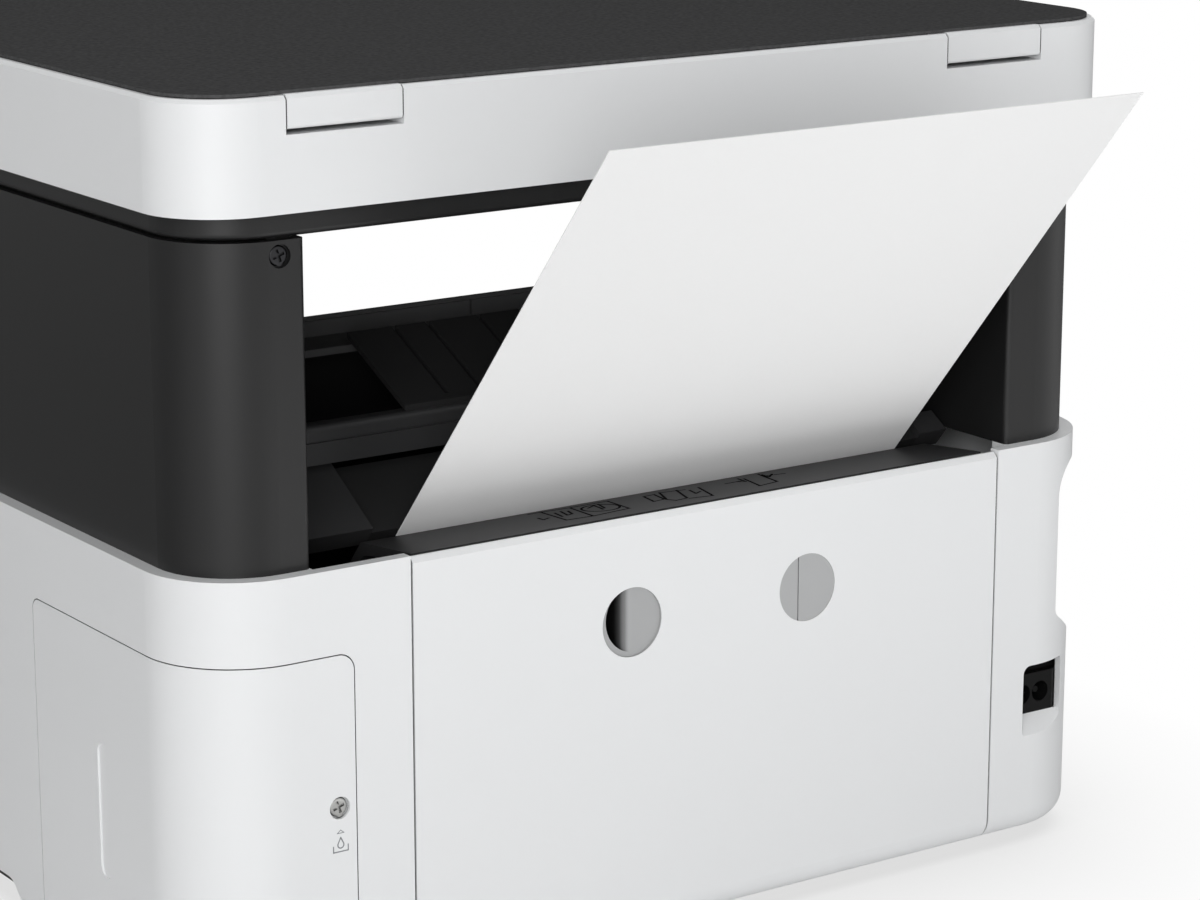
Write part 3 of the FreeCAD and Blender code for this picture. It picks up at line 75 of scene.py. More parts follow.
SCREW_BLACK = (0.035, 0.035, 0.037)
SCREW_NICKEL = (0.40, 0.40, 0.39)


class PrinterColours(bpy.types.PropertyGroup):
    """Colours of the mouldings, metal and paper."""
    white: FloatVectorProperty(
        name="White moulding", description="Housings, covers and scanner band",
        subtype="COLOR", size=3, default=(0.80, 0.808, 0.815), min=0, max=1)
    charcoal: FloatVectorProperty(
        name="Charcoal moulding", description="Upper cabinet and scanner tray",
        subtype="COLOR", size=3, default=(0.012, 0.012, 0.0122), min=0, max=1)
    lid: FloatVectorProperty(
        name="Lid", description="Grained document lid",
        subtype="COLOR", size=3, default=(0.080, 0.080, 0.081), min=0, max=1)
    inner: FloatVectorProperty(
        name="Inner black", description="Feed path and print engine",
        subtype="COLOR", size=3, default=(0.019, 0.019, 0.0194), min=0, max=1)
    # Used also as painted light on the feed ramp's end cheeks.
    engine: FloatVectorProperty(
        name="Engine black", description="Guide bar and end cheeks of the feed ramp",
        subtype="COLOR", size=3, default=(0.030, 0.030, 0.031), min=0, max=1)
    ledge: FloatVectorProperty(
        name="Feed ledge", description="Ledge behind the sheet",
        subtype="COLOR", size=3, default=(0.036, 0.036, 0.037), min=0, max=1)
    paper: FloatVectorProperty(
        name="Paper", description="Sheet in the rear slot",
        subtype="COLOR", size=3, default=(0.91, 0.91, 0.908), min=0, max=1)
    ink_line: FloatVectorProperty(
        name="Printed line", description="Icon on the maintenance cover",
        subtype="COLOR", size=3, default=(0.22, 0.23, 0.24), min=0, max=1)
    mark: FloatVectorProperty(
        name="Panel mark", description="Icons on the control panel",
        subtype="COLOR", size=3, default=(0.72, 0.73, 0.74), min=0, max=1)


class PrinterSizes(bpy.types.PropertyGroup):
    """Sizes of the added details."""
    icon_line: FloatProperty(
        name="Icon line", description="Width of a printed line",
        unit="LENGTH", default=0.45 * MM, min=0.1 * MM)
    icon_height: FloatProperty(
        name="Icon relief", description="Height of a printed line",
        unit="LENGTH", default=0.06 * MM, min=0.01 * MM)
    # Reach of the painted shade in gaps and recesses.
    gap_shade_reach: FloatProperty(
        name="Gap reach", description="Width of the gaps that read dark",
        unit="LENGTH", default=1.5 * MM, min=0.1 * MM)
    recess_width: FloatProperty(
        name="Cross recess", description="Width of a screw's cross recess",
        unit="LENGTH", default=0.95 * MM, min=0.2 * MM)
    camera_lens: FloatProperty(
        name="Lens", description="Focal length on a 36 mm sensor",
        unit="CAMERA", default=105.92, min=10)


def colours():
    """The user's colours."""
    return bpy.context.scene.printer_colours


def sizes():
    """The user's sizes."""
    return bpy.context.scene.printer_sizes


def node_box(name):
    """Low and high corner of a CAD node."""
    low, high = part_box(name)
    return Vector(low), Vector(high)


# Shader nodes

def feed(tree, socket, value):
    """Links another node's output to the input, or sets a plain value on it."""
    if isinstance(value, bpy.types.NodeSocket):
        tree.links.new(value, socket)
    else:
        socket.default_value = value


def calculate(tree, operation, *values):
    """Result of a sum on outputs or numbers."""
    node = tree.nodes.new("ShaderNodeMath")
    node.operation = operation
    for socket, value in zip(node.inputs, values):
        feed(tree, socket, value)
    return node.outputs["Value"]


def mapped(tree, value, source, target):
    """Value carried from the range source to the range target."""
    node = tree.nodes.new("ShaderNodeMapRange")
    node.inputs["From Min"].default_value, node.inputs["From Max"].default_value = source
    node.inputs["To Min"].default_value, node.inputs["To Max"].default_value = target
    tree.links.new(value, node.inputs["Value"])
    return node.outputs["Result"]


def mixed(tree, factor, first, second, blend="MIX", kind="RGBA"):
    """Mix of two colours, or of two numbers when the kind is FLOAT."""
    node = tree.nodes.new("ShaderNodeMix")
    node.data_type = kind
    node.blend_type = blend
    feed(tree, node.inputs["Factor"], factor)
    feed(tree, node.inputs["A"], first)
    feed(tree, node.inputs["B"], second)
    return node.outputs["Result"]


def axes(tree, coordinates="Object"):
    """X, Y and Z of the surface's place."""
    coords = tree.nodes.new("ShaderNodeTexCoord")
    split = tree.nodes.new("ShaderNodeSeparateXYZ")
    tree.links.new(coords.outputs[coordinates], split.inputs["Vector"])
    return split.outputs


def openness(tree, reach, samples):
    """Share of open space within reach of the surface."""
    node = tree.nodes.new("ShaderNodeAmbientOcclusion")
    node.samples = samples
    node.inputs["Distance"].default_value = reach
    return node.outputs["AO"]


def object_noise(tree, scale, detail=2.0, stretch=(1, 1, 1)):
    """Noise that stays with the piece."""
    coords = tree.nodes.new("ShaderNodeTexCoord")
    mapping = tree.nodes.new("ShaderNodeMapping")
    mapping.inputs["Scale"].default_value = stretch
    noise = tree.nodes.new("ShaderNodeTexNoise")
    noise.inputs["Scale"].default_value = scale
    noise.inputs["Detail"].default_value = detail
    tree.links.new(coords.outputs["Object"], mapping.inputs["Vector"])
    tree.links.new(mapping.outputs["Vector"], noise.inputs["Vector"])
    return noise.outputs["Fac"]


# Materials

# Openness between which the painted shade in a gap falls to its dark tone.
GAP_SHADE_OPENNESS = (0.2, 0.5)
GAP_SHADE_TONE = 0.08
# Slow drift of a moulding's tone and gloss, and the height of its grain.
DRIFT_SCALE = 9.0
GLOSS_DRIFT = 0.05
GRAIN_HEIGHT = 0.06 * MM


def start_material(name, colour, roughness, metallic=0.0, specular=0.5):
    """Plain material, with its node tree and its shader."""
    material = bpy.data.materials.new(name)
    material.use_nodes = True
    shader = material.node_tree.nodes["Principled BSDF"]
    shader.inputs["Base Color"].default_value = (*colour, 1)
    shader.inputs["Roughness"].default_value = roughness
    shader.inputs["Metallic"].default_value = metallic
    shader.inputs["Specular IOR Level"].default_value = specular
    return material, material.node_tree, shader


def base_colour(material):
    """Colour input of a material's shader."""
    return material.node_tree.nodes["Principled BSDF"].inputs["Base Color"]


def vary_colour(tree, shader, factor, colour, spread):
    """Lets the colour drift by a share of itself."""
    dark = (*[c * (1 - spread) for c in colour], 1)
    pale = (*[min(1, c * (1 + spread)) for c in colour], 1)
    tree.links.new(mixed(tree, factor, dark, pale), shader.inputs["Base Color"])


def vary_roughness(tree, shader, factor, low, high):
    """Lets the gloss drift between two values."""
    tree.links.new(mapped(tree, factor, (0, 1), (low, high)), shader.inputs["Roughness"])


def add_bump(tree, shader, height, strength, distance):
    """Fine relief in the finish."""
    bump = tree.nodes.new("ShaderNodeBump")
    bump.inputs["Strength"].default_value = strength
    bump.inputs["Distance"].default_value = distance
    tree.links.new(height, bump.inputs["Height"])
    tree.links.new(bump.outputs["Normal"], shader.inputs["Normal"])


def moulded(name, colour, roughness, grain=2600.0, depth=0.12, spread=0.012, specular=0.5):
    """Moulded plastic: fine spark-eroded grain, and a slow drift of tone and gloss."""
    material, tree, shader = start_material(name, colour, roughness, specular=specular)
    drift = object_noise(tree, scale=DRIFT_SCALE)
    vary_colour(tree, shader, drift, colour, spread)
    vary_roughness(tree, shader, drift, roughness - GLOSS_DRIFT, roughness + GLOSS_DRIFT)
    add_bump(tree, shader, object_noise(tree, grain, detail=3.0), depth, GRAIN_HEIGHT)
    return material


def paint_gap_shade(material):
    """Painted shade in narrow gaps and recesses, darkest where least space is open, so that
    joint lines read dark.
    """
    tree = material.node_tree
    colour = base_colour(material)
    open_space = openness(tree, sizes().gap_shade_reach, samples=8)
    shade = mapped(tree, open_space, GAP_SHADE_OPENNESS, (GAP_SHADE_TONE, 1))
    shaded = mixed(tree, 1.0, colour.links[0].from_socket, shade, "MULTIPLY")
    tree.links.new(shaded, colour)
    return material


def brushed(name, colour, roughness):
    """Rolled or turned metal with fine lines along X."""
    material, tree, shader = start_material(name, colour, roughness, metallic=1.0)
    lines = object_noise(tree, scale=900.0, detail=4.0, stretch=(0.04, 1, 1))
    vary_colour(tree, shader, lines, colour, 0.10)
    vary_roughness(tree, shader, lines, roughness - 0.08, roughness + 0.12)
    add_bump(tree, shader, lines, 0.15, 0.05 * MM)
    return material


def dress(names, material):
    """Gives the finish to CAD nodes, named in one string."""
    for name in names.split():
        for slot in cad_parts[name].material_slots:
            slot.material = material


# Modelling

# Bevel of an icon line, as a share of its lesser side.
LINE_BEVEL = 0.3
SMOOTH_ANGLE = math.radians(35)


def deselect():
    """Leaves edit mode and deselects everything."""
    if bpy.context.mode != "OBJECT":
        bpy.ops.object.mode_set(mode="OBJECT")
    bpy.ops.object.select_all(action="DESELECT")


def pick(obj):
    """Selects one object alone and makes it active."""
    deselect()
    obj.select_set(True)
    bpy.context.view_layer.objects.active = obj


def finish_piece(obj, name, material, body):
    """Puts the piece's place into its mesh, and gives it its name, finish and body."""
    pick(obj)
    bpy.ops.object.transform_apply(location=True, rotation=True, scale=True)
    bpy.ops.object.shade_smooth_by_angle(angle=SMOOTH_ANGLE)
    obj.name = name
    obj.data.name = name
    obj.data.materials.clear()
    obj.data.materials.append(material)
    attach(obj, body)
    return obj


def join(objects):
    """Makes one object of several."""
    deselect()
    for obj in objects:
        obj.select_set(True)
    bpy.context.view_layer.objects.active = objects[0]
    if len(objects) > 1:
        bpy.ops.object.join()
    return bpy.context.view_layer.objects.active


def apply_modifiers(obj):
    """Turns the object's modifiers into mesh."""
    pick(obj)
    for modifier in list(obj.modifiers):
        bpy.ops.object.modifier_apply(modifier=modifier.name)


def soften(obj, width, segments):
    """Bevels the sharp edges."""
    bevel = obj.modifiers.new("Soft edges", "BEVEL")
    bevel.width = width
    bevel.segments = segments
    bevel.limit_method = "ANGLE"
    apply_modifiers(obj)


def bar(start, end, width, height):
    """Line of an icon in the XY plane, from start to end, with rounded corners."""
    deselect()
    a = Vector((*start, 0))
    b = Vector((*end, 0))
    run = b - a
    bpy.ops.mesh.primitive_cube_add(
        size=1, location=(a + b) / 2, rotation=(0, 0, math.atan2(run.y, run.x)),
        scale=(run.length + width, width, height))
    obj = bpy.context.active_object
    bpy.ops.object.transform_apply(location=False, rotation=False, scale=True)
    soften(obj, min(width, height) * LINE_BEVEL, 1)
    return obj


def ring(centre, radius, width, height, start=0.0, sweep=360.0, steps=40):
    """Round line of an icon: a short block spun about the centre."""
    deselect()
    bpy.ops.mesh.primitive_plane_add(size=1, location=(0, 0, 0))
    obj = bpy.context.active_object
    obj.scale = (width, height, 1)
    obj.rotation_euler = (math.radians(90), 0, 0)
    bpy.ops.object.transform_apply(location=False, rotation=True, scale=True)
    obj.location = (radius, 0, 0)
    bpy.ops.object.transform_apply(location=True, rotation=False, scale=False)
    obj.rotation_euler = (0, 0, math.radians(start))
    bpy.ops.object.transform_apply(location=False, rotation=True, scale=False)
    bpy.ops.object.mode_set(mode="EDIT")
    bpy.ops.mesh.select_all(action="SELECT")
    bpy.ops.mesh.spin(steps=steps, angle=math.radians(sweep), center=(0, 0, 0), axis=(0, 0, -1),
                      dupli=False, use_normal_flip=False)
    bpy.ops.mesh.select_all(action="SELECT")
    bpy.ops.mesh.remove_doubles(threshold=0.001 * MM)
    bpy.ops.mesh.normals_make_consistent(inside=False)
    bpy.ops.object.mode_set(mode="OBJECT")
    obj.location = (*centre, 0)
    return obj


def path(points, width, height, closed=False):
    """Chain of bars through the points."""
    ends = list(zip(points, points[1:]))
    if closed:
        ends.append((points[-1], points[0]))
    return [bar(a, b, width, height) for a, b in ends]


def in_mm(points):
    """Points drawn in millimetres, in metres."""
    return [(x * MM, y * MM) for x, y in points]


def lay(objects, matrix):
    """Joins flat icon lines and lays them on a face of the object."""
    obj = join(objects)
    bpy.ops.object.transform_apply(location=True, rotation=True, scale=True)
    obj.matrix_world = matrix
    bpy.ops.object.transform_apply(location=True, rotation=True, scale=True)
    return obj


def facing(origin, right, up):
    """Matrix that lays an icon drawn in XY on a face, with its own right and up directions."""
    x = Vector(right).normalized()
    y = Vector(up).normalized()
    z = x.cross(y)
    matrix = Matrix((x, y, z)).transposed().to_4x4()
    matrix.translation = Vector(origin)
    return matrix


# Round holes of the rear cover, and their tones from the hole's depth up to the face: grey
# backs, with painted shade that deepens to black with depth.
HOLE_PLACES = (24.5 * MM, -49.0 * MM)
HOLE_HEIGHT = 114.6 * MM
HOLE_RADIUS = 12.05 * MM
HOLE_DEPTH = 5.0 * MM
HOLE_DEEP_SHADE = 0.01
HOLE_GREY_AND_SHADE = ((0.45, 0.05), (0.69, 0.22), (0.79, 0.48), (0.95, 0.52), (0.97, 1.0))


class PRINTER_OT_white_mouldings(bpy.types.Operator):
    """White housings, covers and scanner band"""
    bl_idname = "printer.white_mouldings"
    bl_label = "White mouldings"

    def execute(self, context):
        # Painted shade in the gaps of the white mouldings.
        white = paint_gap_shade(self.white("white moulding"))
        dress("right_housing left_housing maintenance_cover", white)
        dress("scanner_frame hinge_caps cassette_panel", white)
        dress("rear_cover", self.rear_cover())
        return {"FINISHED"}

    def white(self, name):
        return moulded(name, colours().white, 0.42, depth=0.10, spread=0.008)

    def rear_cover(self):
        """White outside, with grey backs in the round holes, and painted shade that darkens them
        to black with depth.
        """
        material = self.white("rear cover moulding")
        tree = material.node_tree
        colour = base_colour(material)
        place = axes(tree)
        face = node_box("rear_cover")[1].y
        # Painted shade: the holes' grey backs go to black with depth.
        shade = tree.nodes.new("ShaderNodeValToRGB")
        stops = shade.color_ramp.elements
        stops[0].color = (HOLE_DEEP_SHADE, HOLE_DEEP_SHADE, HOLE_DEEP_SHADE, 1)
        for position, tone in HOLE_GREY_AND_SHADE:
            stops.new(position).color = (tone, tone, tone, 1)
        depth = mapped(tree, place["Y"], (face - HOLE_DEPTH, face), (0, 1))
        tree.links.new(depth, shade.inputs["Fac"])
        painted = colour.links[0].from_socket
        mask = self.hole_mask(tree, place)
        toned = mixed(tree, mask, painted, shade.outputs["Color"], "MULTIPLY")
        tree.links.new(toned, colour)
        return paint_gap_shade(material)

    def hole_mask(self, tree, place):
        """One inside either round hole, nought elsewhere."""
        flat = tree.nodes.new("ShaderNodeCombineXYZ")
        tree.links.new(place["X"], flat.inputs["X"])
        tree.links.new(place["Z"], flat.inputs["Z"])
        distances = []
        for x in HOLE_PLACES:
            distance = tree.nodes.new("ShaderNodeVectorMath")
            distance.operation = "DISTANCE"
            distance.inputs[1].default_value = (x, 0, HOLE_HEIGHT)
            tree.links.new(flat.outputs["Vector"], distance.inputs[0])
            distances.append(distance.outputs["Value"])
        nearest = calculate(tree, "MINIMUM", *distances)
        return calculate(tree, "LESS_THAN", nearest, HOLE_RADIUS)


# From the edge of the sheet to the end cheek of the feed ramp.
CHEEK_GAP = 9.9 * MM


class PRINTER_OT_black_mouldings(bpy.types.Operator):
    """Charcoal cabinet and the black inner mouldings"""
    bl_idname = "printer.black_mouldings"
    bl_label = "Black mouldings"

    def execute(self, context):
        charcoal = moulded("charcoal moulding", colours().charcoal, 0.38,
                           grain=2200.0, depth=0.15, spread=0.05, specular=0.3)
        dress("upper_cabinet scanner_base", charcoal)
        inner = self.inside("inner black moulding", colours().inner, spread=0.08, specular=0.25)
        dress("base_chassis mechanism_cover platen print_carriage cap_station output_bay", inner)
        dress("paper_cassette output_tray ink_flap sensor_bar maintenance_box ink_cap", inner)
        dress("guide_bar", self.inside("engine moulding", colours().engine))
        dress("frame_beam", self.inside("beam moulding", BEAM_BLACK))
        dress("feed_ramp", self.feed_ramp())
        dress("mains_inlet", moulded("socket black", SOCKET_BLACK, 0.35,
                                     grain=1500.0, depth=0.1, spread=0.05, specular=0.08))
        dress("rear_guide", moulded("feed ledge", colours().ledge, 0.48,
                                    grain=1900.0, depth=0.18, spread=0.05, specular=0.3))
        grey = moulded("guide grey", GUIDE_GREY, 0.45, grain=2000.0, depth=0.12, spread=0.03)
        dress("right_width_guide left_width_guide end_guide", grey)
        acetal = moulded("gear white", GEAR_WHITE, 0.35, grain=2000.0, depth=0.06, spread=0.02)
        dress("idler_gear motor_pinion drive_pulley idler_pulley", acetal)
        return {"FINISHED"}

    def inside(self, name, colour, spread=0.06, specular=0.3):
        return moulded(name, colour, 0.46, grain=1800.0, depth=0.14, spread=spread,
                       specular=specular)

    def feed_ramp(self):
        """Black ramp whose end cheeks are painted a little greyer, as painted light on their
        differently tilted faces.
        """
        material = self.inside("feed ramp moulding", colours().inner)
        tree = material.node_tree
        colour = base_colour(material)
        low, high = node_box("paper_sheet")
        # Painted light: the cheeks beyond the sheet's edges take the paler engine colour.
        across = calculate(tree, "SUBTRACT", axes(tree)["X"], (low.x + high.x) / 2)
        cheek = (high.x - low.x) / 2 + CHEEK_GAP
        outside = calculate(tree, "GREATER_THAN", calculate(tree, "ABSOLUTE", across), cheek)
        painted = colour.links[0].from_socket
        tree.links.new(mixed(tree, outside, painted, (*colours().engine, 1)), colour)
        return material


class PRINTER_OT_document_lid(bpy.types.Operator):
    """Grained lid, white pad and glass"""
    bl_idname = "printer.document_lid"
    bl_label = "Document lid"

    def execute(self, context):
        colour = colours().lid
        lid, tree, shader = start_material("grained lid", colour, 0.5, specular=0.0)
        grain = object_noise(tree, scale=620.0, detail=4.0)
        vary_colour(tree, shader, grain, colour, 0.45)
        vary_roughness(tree, shader, grain, 0.42, 0.62)
        add_bump(tree, shader, grain, 0.5, 0.12 * MM)
        dress("lid_panel", lid)
        film = moulded("pad film", PAD_WHITE, 0.6, grain=700.0, depth=0.2, spread=0.01)
        dress("lid_pad", film)
        glass, tree, shader = start_material("scanner glass", GLASS_TINT, 0.04)
        shader.inputs["Transmission Weight"].default_value = 0.9
        shader.inputs["IOR"].default_value = 1.5
        vary_roughness(tree, shader, object_noise(tree, scale=30.0), 0.02, 0.06)
        dress("scanner_glass", glass)
        return {"FINISHED"}


class PRINTER_OT_print_engine(bpy.types.Operator):
    """Steel, rubber, boards and tank inside"""
    bl_idname = "printer.print_engine"
    bl_label = "Print engine"

    def execute(self, context):
        dress("power_supply", brushed("zinc plated sheet", ZINC_GREY, 0.38))
        painted = moulded("black painted sheet", PAINT_BLACK, 0.5,
                          grain=1200.0, depth=0.1, spread=0.1, specular=0.2)
        dress("main_frame", painted)
        dress("carriage_shaft sensor_rail", brushed("ground shaft", SHAFT_STEEL, 0.2))
        dress("carriage_motor feed_motor usb_port", brushed("motor can", MOTOR_STEEL, 0.3))
        rubber = moulded("rubber", RUBBER_BLACK, 0.75, grain=900.0, depth=0.35, spread=0.15)
        dress("rubber_feet feed_roller exit_roller pick_roller drive_belt", rubber)
        board = moulded("circuit board", BOARD_GREEN, 0.35, grain=400.0, depth=0.2, spread=0.25)
        dress("main_board", board)
        tank, tree, shader = start_material("tank plastic", TANK_TINT, 0.2)
        shader.inputs["Transmission Weight"].default_value = 0.5
        vary_colour(tree, shader, object_noise(tree, scale=25.0), TANK_TINT, 0.06)
        add_bump(tree, shader, object_noise(tree, scale=500.0), 0.08, 0.05 * MM)
        dress("ink_tank", tank)
        return {"FINISHED"}


class PRINTER_OT_paper(bpy.types.Operator):
    """Sheet of plain paper in the rear slot"""
    bl_idname = "printer.paper"
    bl_label = "Paper"

    def execute(self, context):
        colour = colours().paper
        paper, tree, shader = start_material("plain paper", colour, 0.85, specular=0.2)
        fibres = object_noise(tree, scale=1400.0, detail=6.0)
        vary_colour(tree, shader, fibres, colour, 0.012)
        vary_roughness(tree, shader, fibres, 0.8, 0.92)
        add_bump(tree, shader, fibres, 0.08, 0.05 * MM)
        dress("paper_sheet", paper)
        return {"FINISHED"}


# Share of an icon's relief by which it stands off its face.
ICON_LIFT = 0.2
# Icons of the panel: their half size, the arc and stem of the power sign, and the arrow heads.
PANEL_LINE = 1.3
PANEL_ICON = 2.2 * MM
POWER_ARC = (125, 290)
POWER_STEM = (0.3 * MM, 2.75 * MM)
ARROW_REACH = 11.6 * MM
ARROW_LENGTH = 1.6 * MM
ARROW_HALF = 2.2 * MM
# Square and triangle, in half sizes.
CLOSED_ICONS = (
    ("stop_button", ((-1, 1), (1, 1), (1, -1), (-1, -1))),
    ("start_button", ((-1, 1.2), (1.3, 0), (-1, -1.2))),
)


class PRINTER_OT_control_panel(bpy.types.Operator):
    """Panel, display and buttons on the front"""
    bl_idname = "printer.control_panel"
    bl_label = "Control panel"

    def execute(self, context):
        panel = moulded("panel black", PANEL_BLACK, 0.28, grain=2400.0, depth=0.05, spread=0.05)
        dress("control_panel", panel)
        screen, tree, shader = start_material("display glass", SCREEN_BLACK, 0.08)
        vary_roughness(tree, shader, object_noise(tree, scale=120.0), 0.05, 0.11)
        dress("display", screen)
        dress("power_button arrow_pad ok_button", self.button("button grey", BUTTON_GREY))
        dress("stop_button", self.button("button orange", STOP_ORANGE))
        dress("start_button", self.button("button green", START_GREEN))
        self.icons()
        return {"FINISHED"}

    def button(self, name, colour):
        return moulded(name, colour, 0.4, grain=2200.0, depth=0.1, spread=0.04)

    def icons(self):
        """Printed sign on each button, riding with it."""
        mark = moulded("panel print", colours().mark, 0.5, grain=3000.0, depth=0.05, spread=0.01)
        line = sizes().icon_line * PANEL_LINE
        height = sizes().icon_height

        def on_button(name, objects):
            low, high = node_box(name)
            front = low.y - height * ICON_LIFT
            origin = ((low.x + high.x) / 2, front, (low.z + high.z) / 2)
            icon = lay(objects, facing(origin, (1, 0, 0), (0, 0, 1)))
            finish_piece(icon, name + "_icon", mark, name)

        r = PANEL_ICON
        power = [ring((0, 0), r, line, height, *POWER_ARC)]
        power.append(bar((0, POWER_STEM[0]), (0, POWER_STEM[1]), line, height))
        on_button("power_button", power)
        arrows = []
        for quarter in range(4):
            turn = math.radians(90 * quarter)
            out = Vector((math.cos(turn), math.sin(turn)))
            side = Vector((-out.y, out.x)) * ARROW_HALF
            root = out * ARROW_REACH
            tip = out * (ARROW_REACH + ARROW_LENGTH)
            arrows += path([tuple(root + side), tuple(tip), tuple(root - side)], line, height)
        on_button("arrow_pad", arrows)
        for name, shape in CLOSED_ICONS:
            on_button(name, path([(x * r, y * r) for x, y in shape], line, height, closed=True))
        on_button("ok_button", [ring((0, 0), r, line, height)])


# Icon of the maintenance cover: its height above the floor, and its lines in millimetres.
COVER_ICON_Z = 59.8 * MM
COVER_LINE = 0.9
FINE_LINE = 0.6
TRAY_LINE = ((-2.7, 0.0), (-2.7, -1.9), (2.7, -1.9), (2.7, 0.0))
DROP_CENTRE = (0.0, 0.35 * MM)
DROP_RADIUS = 1.1 * MM
DROP_ARC = (150, 240)
DROP_TIP = ((-0.95, 0.9), (0.0, 2.8), (0.95, 0.9))
ARROW_TIP = ((-1.2, 4.3), (0.0, 5.3), (1.2, 4.3))


class PRINTER_OT_cover_icon(bpy.types.Operator):
    """Printed drop-and-tray icon on the maintenance cover"""
    bl_idname = "printer.cover_icon"
    bl_label = "Cover icon"

    def execute(self, context):
        line = sizes().icon_line * COVER_LINE
        height = sizes().icon_height
        low, high = node_box("maintenance_screw")
        rear = node_box("maintenance_cover")[1].y
        tray = path(in_mm(TRAY_LINE), line, height)
        drop = [ring(DROP_CENTRE, DROP_RADIUS, line, height, *DROP_ARC)]
        drop += path(in_mm(DROP_TIP), line, height)
        tip = in_mm(ARROW_TIP)
        arrow = path(tip, line * FINE_LINE, height)
        arrow.append(bar(tip[0], tip[-1], line * FINE_LINE, height))
        origin = ((low.x + high.x) / 2, rear + height * ICON_LIFT, COVER_ICON_Z)
        icon = lay(tray + drop + arrow, facing(origin, (-1, 0, 0), (0, 0, 1)))
        ink = moulded("printed line", colours().ink_line, 0.6,
                      grain=3000.0, depth=0.05, spread=0.02)
        finish_piece(icon, "cover_icon", ink, "maintenance_cover")
        return {"FINISHED"}


# Lines of the pictograms: whether they close, and their points, across and down the ledge in
# millimetres.
LEDGE_LINES = (
    (False, ((43, 29), (38, 29), (41, 9))),
    (True, ((38, 29), (27, 28), (31, 8), (41, 9))),
    (True, ((27, 28), (11.5, 28), (15, 10), (31, 8))),
    (False, ((45, 20), (45.5, 16), (42.5, 17.5))),
    (False, ((36, 23.5), (38, 16))),
    (False, ((33, 24.5), (35.5, 16.5), (33, 17.5), (31, 23))),
    (False, ((23.5, 22), (19.5, 24.5), (20.5, 19.5), (21.5, 16))),
    (False, ((17, 25.5), (19.8, 17.5))),
    (True, ((-1.4, 24.9), (-6, 25.3), (-2.8, 14.7), (2.1, 13.9))),
    (False, ((-9.4, 27), (-2.9, 13.4), (-3.9, 9.3), (-8.9, 9.9), (-15.8, 25.8))),
    (False, ((-9.9, 26.4), (-18.2, 24.4))),
    (False, ((-18.6, 21.9), (-16.2, 14.9), (-19.4, 16.9))),
    (False, ((-23.9, 24.1), (-17.2, 6.5), (-9.3, 8.7))),
    (False, ((-34.2, 22.2), (-41, 22.5))),
    (False, ((-43, 27), (-41.3, 20.1), (-38.8, 22.2))),
    (False, ((-44.3, 25.2), (-38.9, 8.8), (-47.9, 10.8), (-53, 28.5))),
    (False, ((-59.7, 22.1), (-52.4, 23.7))),
    (False, ((-53.2, 26.7), (-51.8, 20.6), (-56.2, 24.8))),
)
LEDGE_LINE = 2.0
LEDGE_MIDDLE = 15.0
LEDGE_ROUND = 3.0 * MM
LEDGE_FALL = (0, -31.3, -3.4)
LEDGE_RING_CENTRE = (-20.5 * MM, 4.0 * MM)
LEDGE_RING_RADIUS = 6.5 * MM


class PRINTER_OT_ledge_icons(bpy.types.Operator):
    """Printed paper-loading pictograms on the feed ledge"""
    bl_idname = "printer.ledge_icons"
    bl_label = "Ledge icons"

    def execute(self, context):
        line = sizes().icon_line * LEDGE_LINE
        height = sizes().icon_height
        parts = []
        for closed, points in LEDGE_LINES:
            drawn = in_mm((-x, down - LEDGE_MIDDLE) for x, down in points)
            parts += path(drawn, line, height, closed)
        parts.append(ring(LEDGE_RING_CENTRE, LEDGE_RING_RADIUS, line, height))
        high = node_box("rear_guide")[1]
        rear_edge = Vector((0, high.y - LEDGE_ROUND, high.z))
        slope = Vector(LEDGE_FALL).normalized()
        origin = rear_edge + slope * LEDGE_MIDDLE * MM + Vector((0, 0, height * ICON_LIFT))
        icon = lay(parts, facing(origin, (-1, 0, 0), slope))
        relief = moulded("ledge relief", LEDGE_PRINT, 0.6,
                         grain=2000.0, depth=0.1, spread=0.05, specular=0.0)
        finish_piece(icon, "ledge_icons", relief, "rear_cover")
        return {"FINISHED"}


# Screws: shares of the head's height or radius, ridges of the shank, and the turn of the recess.
SCREW_HEAD = 1.4 * MM
HEAD_ROUND = 0.55
SHANK_SHARE = 0.46
RIDGES = 6
RIDGE_WAIST = 0.82
RECESS_REACH = 1.25
RECESS_DEPTH = 1.1
RECESS_TURN = 20


def select_faces(obj, wanted):
    """Selects the faces of a mesh in edit mode whose normal is wanted."""
    mesh = bmesh.from_edit_mesh(obj.data)
    for face in mesh.faces:
        face.select = wanted(face.normal)
    mesh.select_flush_mode()
    bmesh.update_edit_mesh(obj.data)


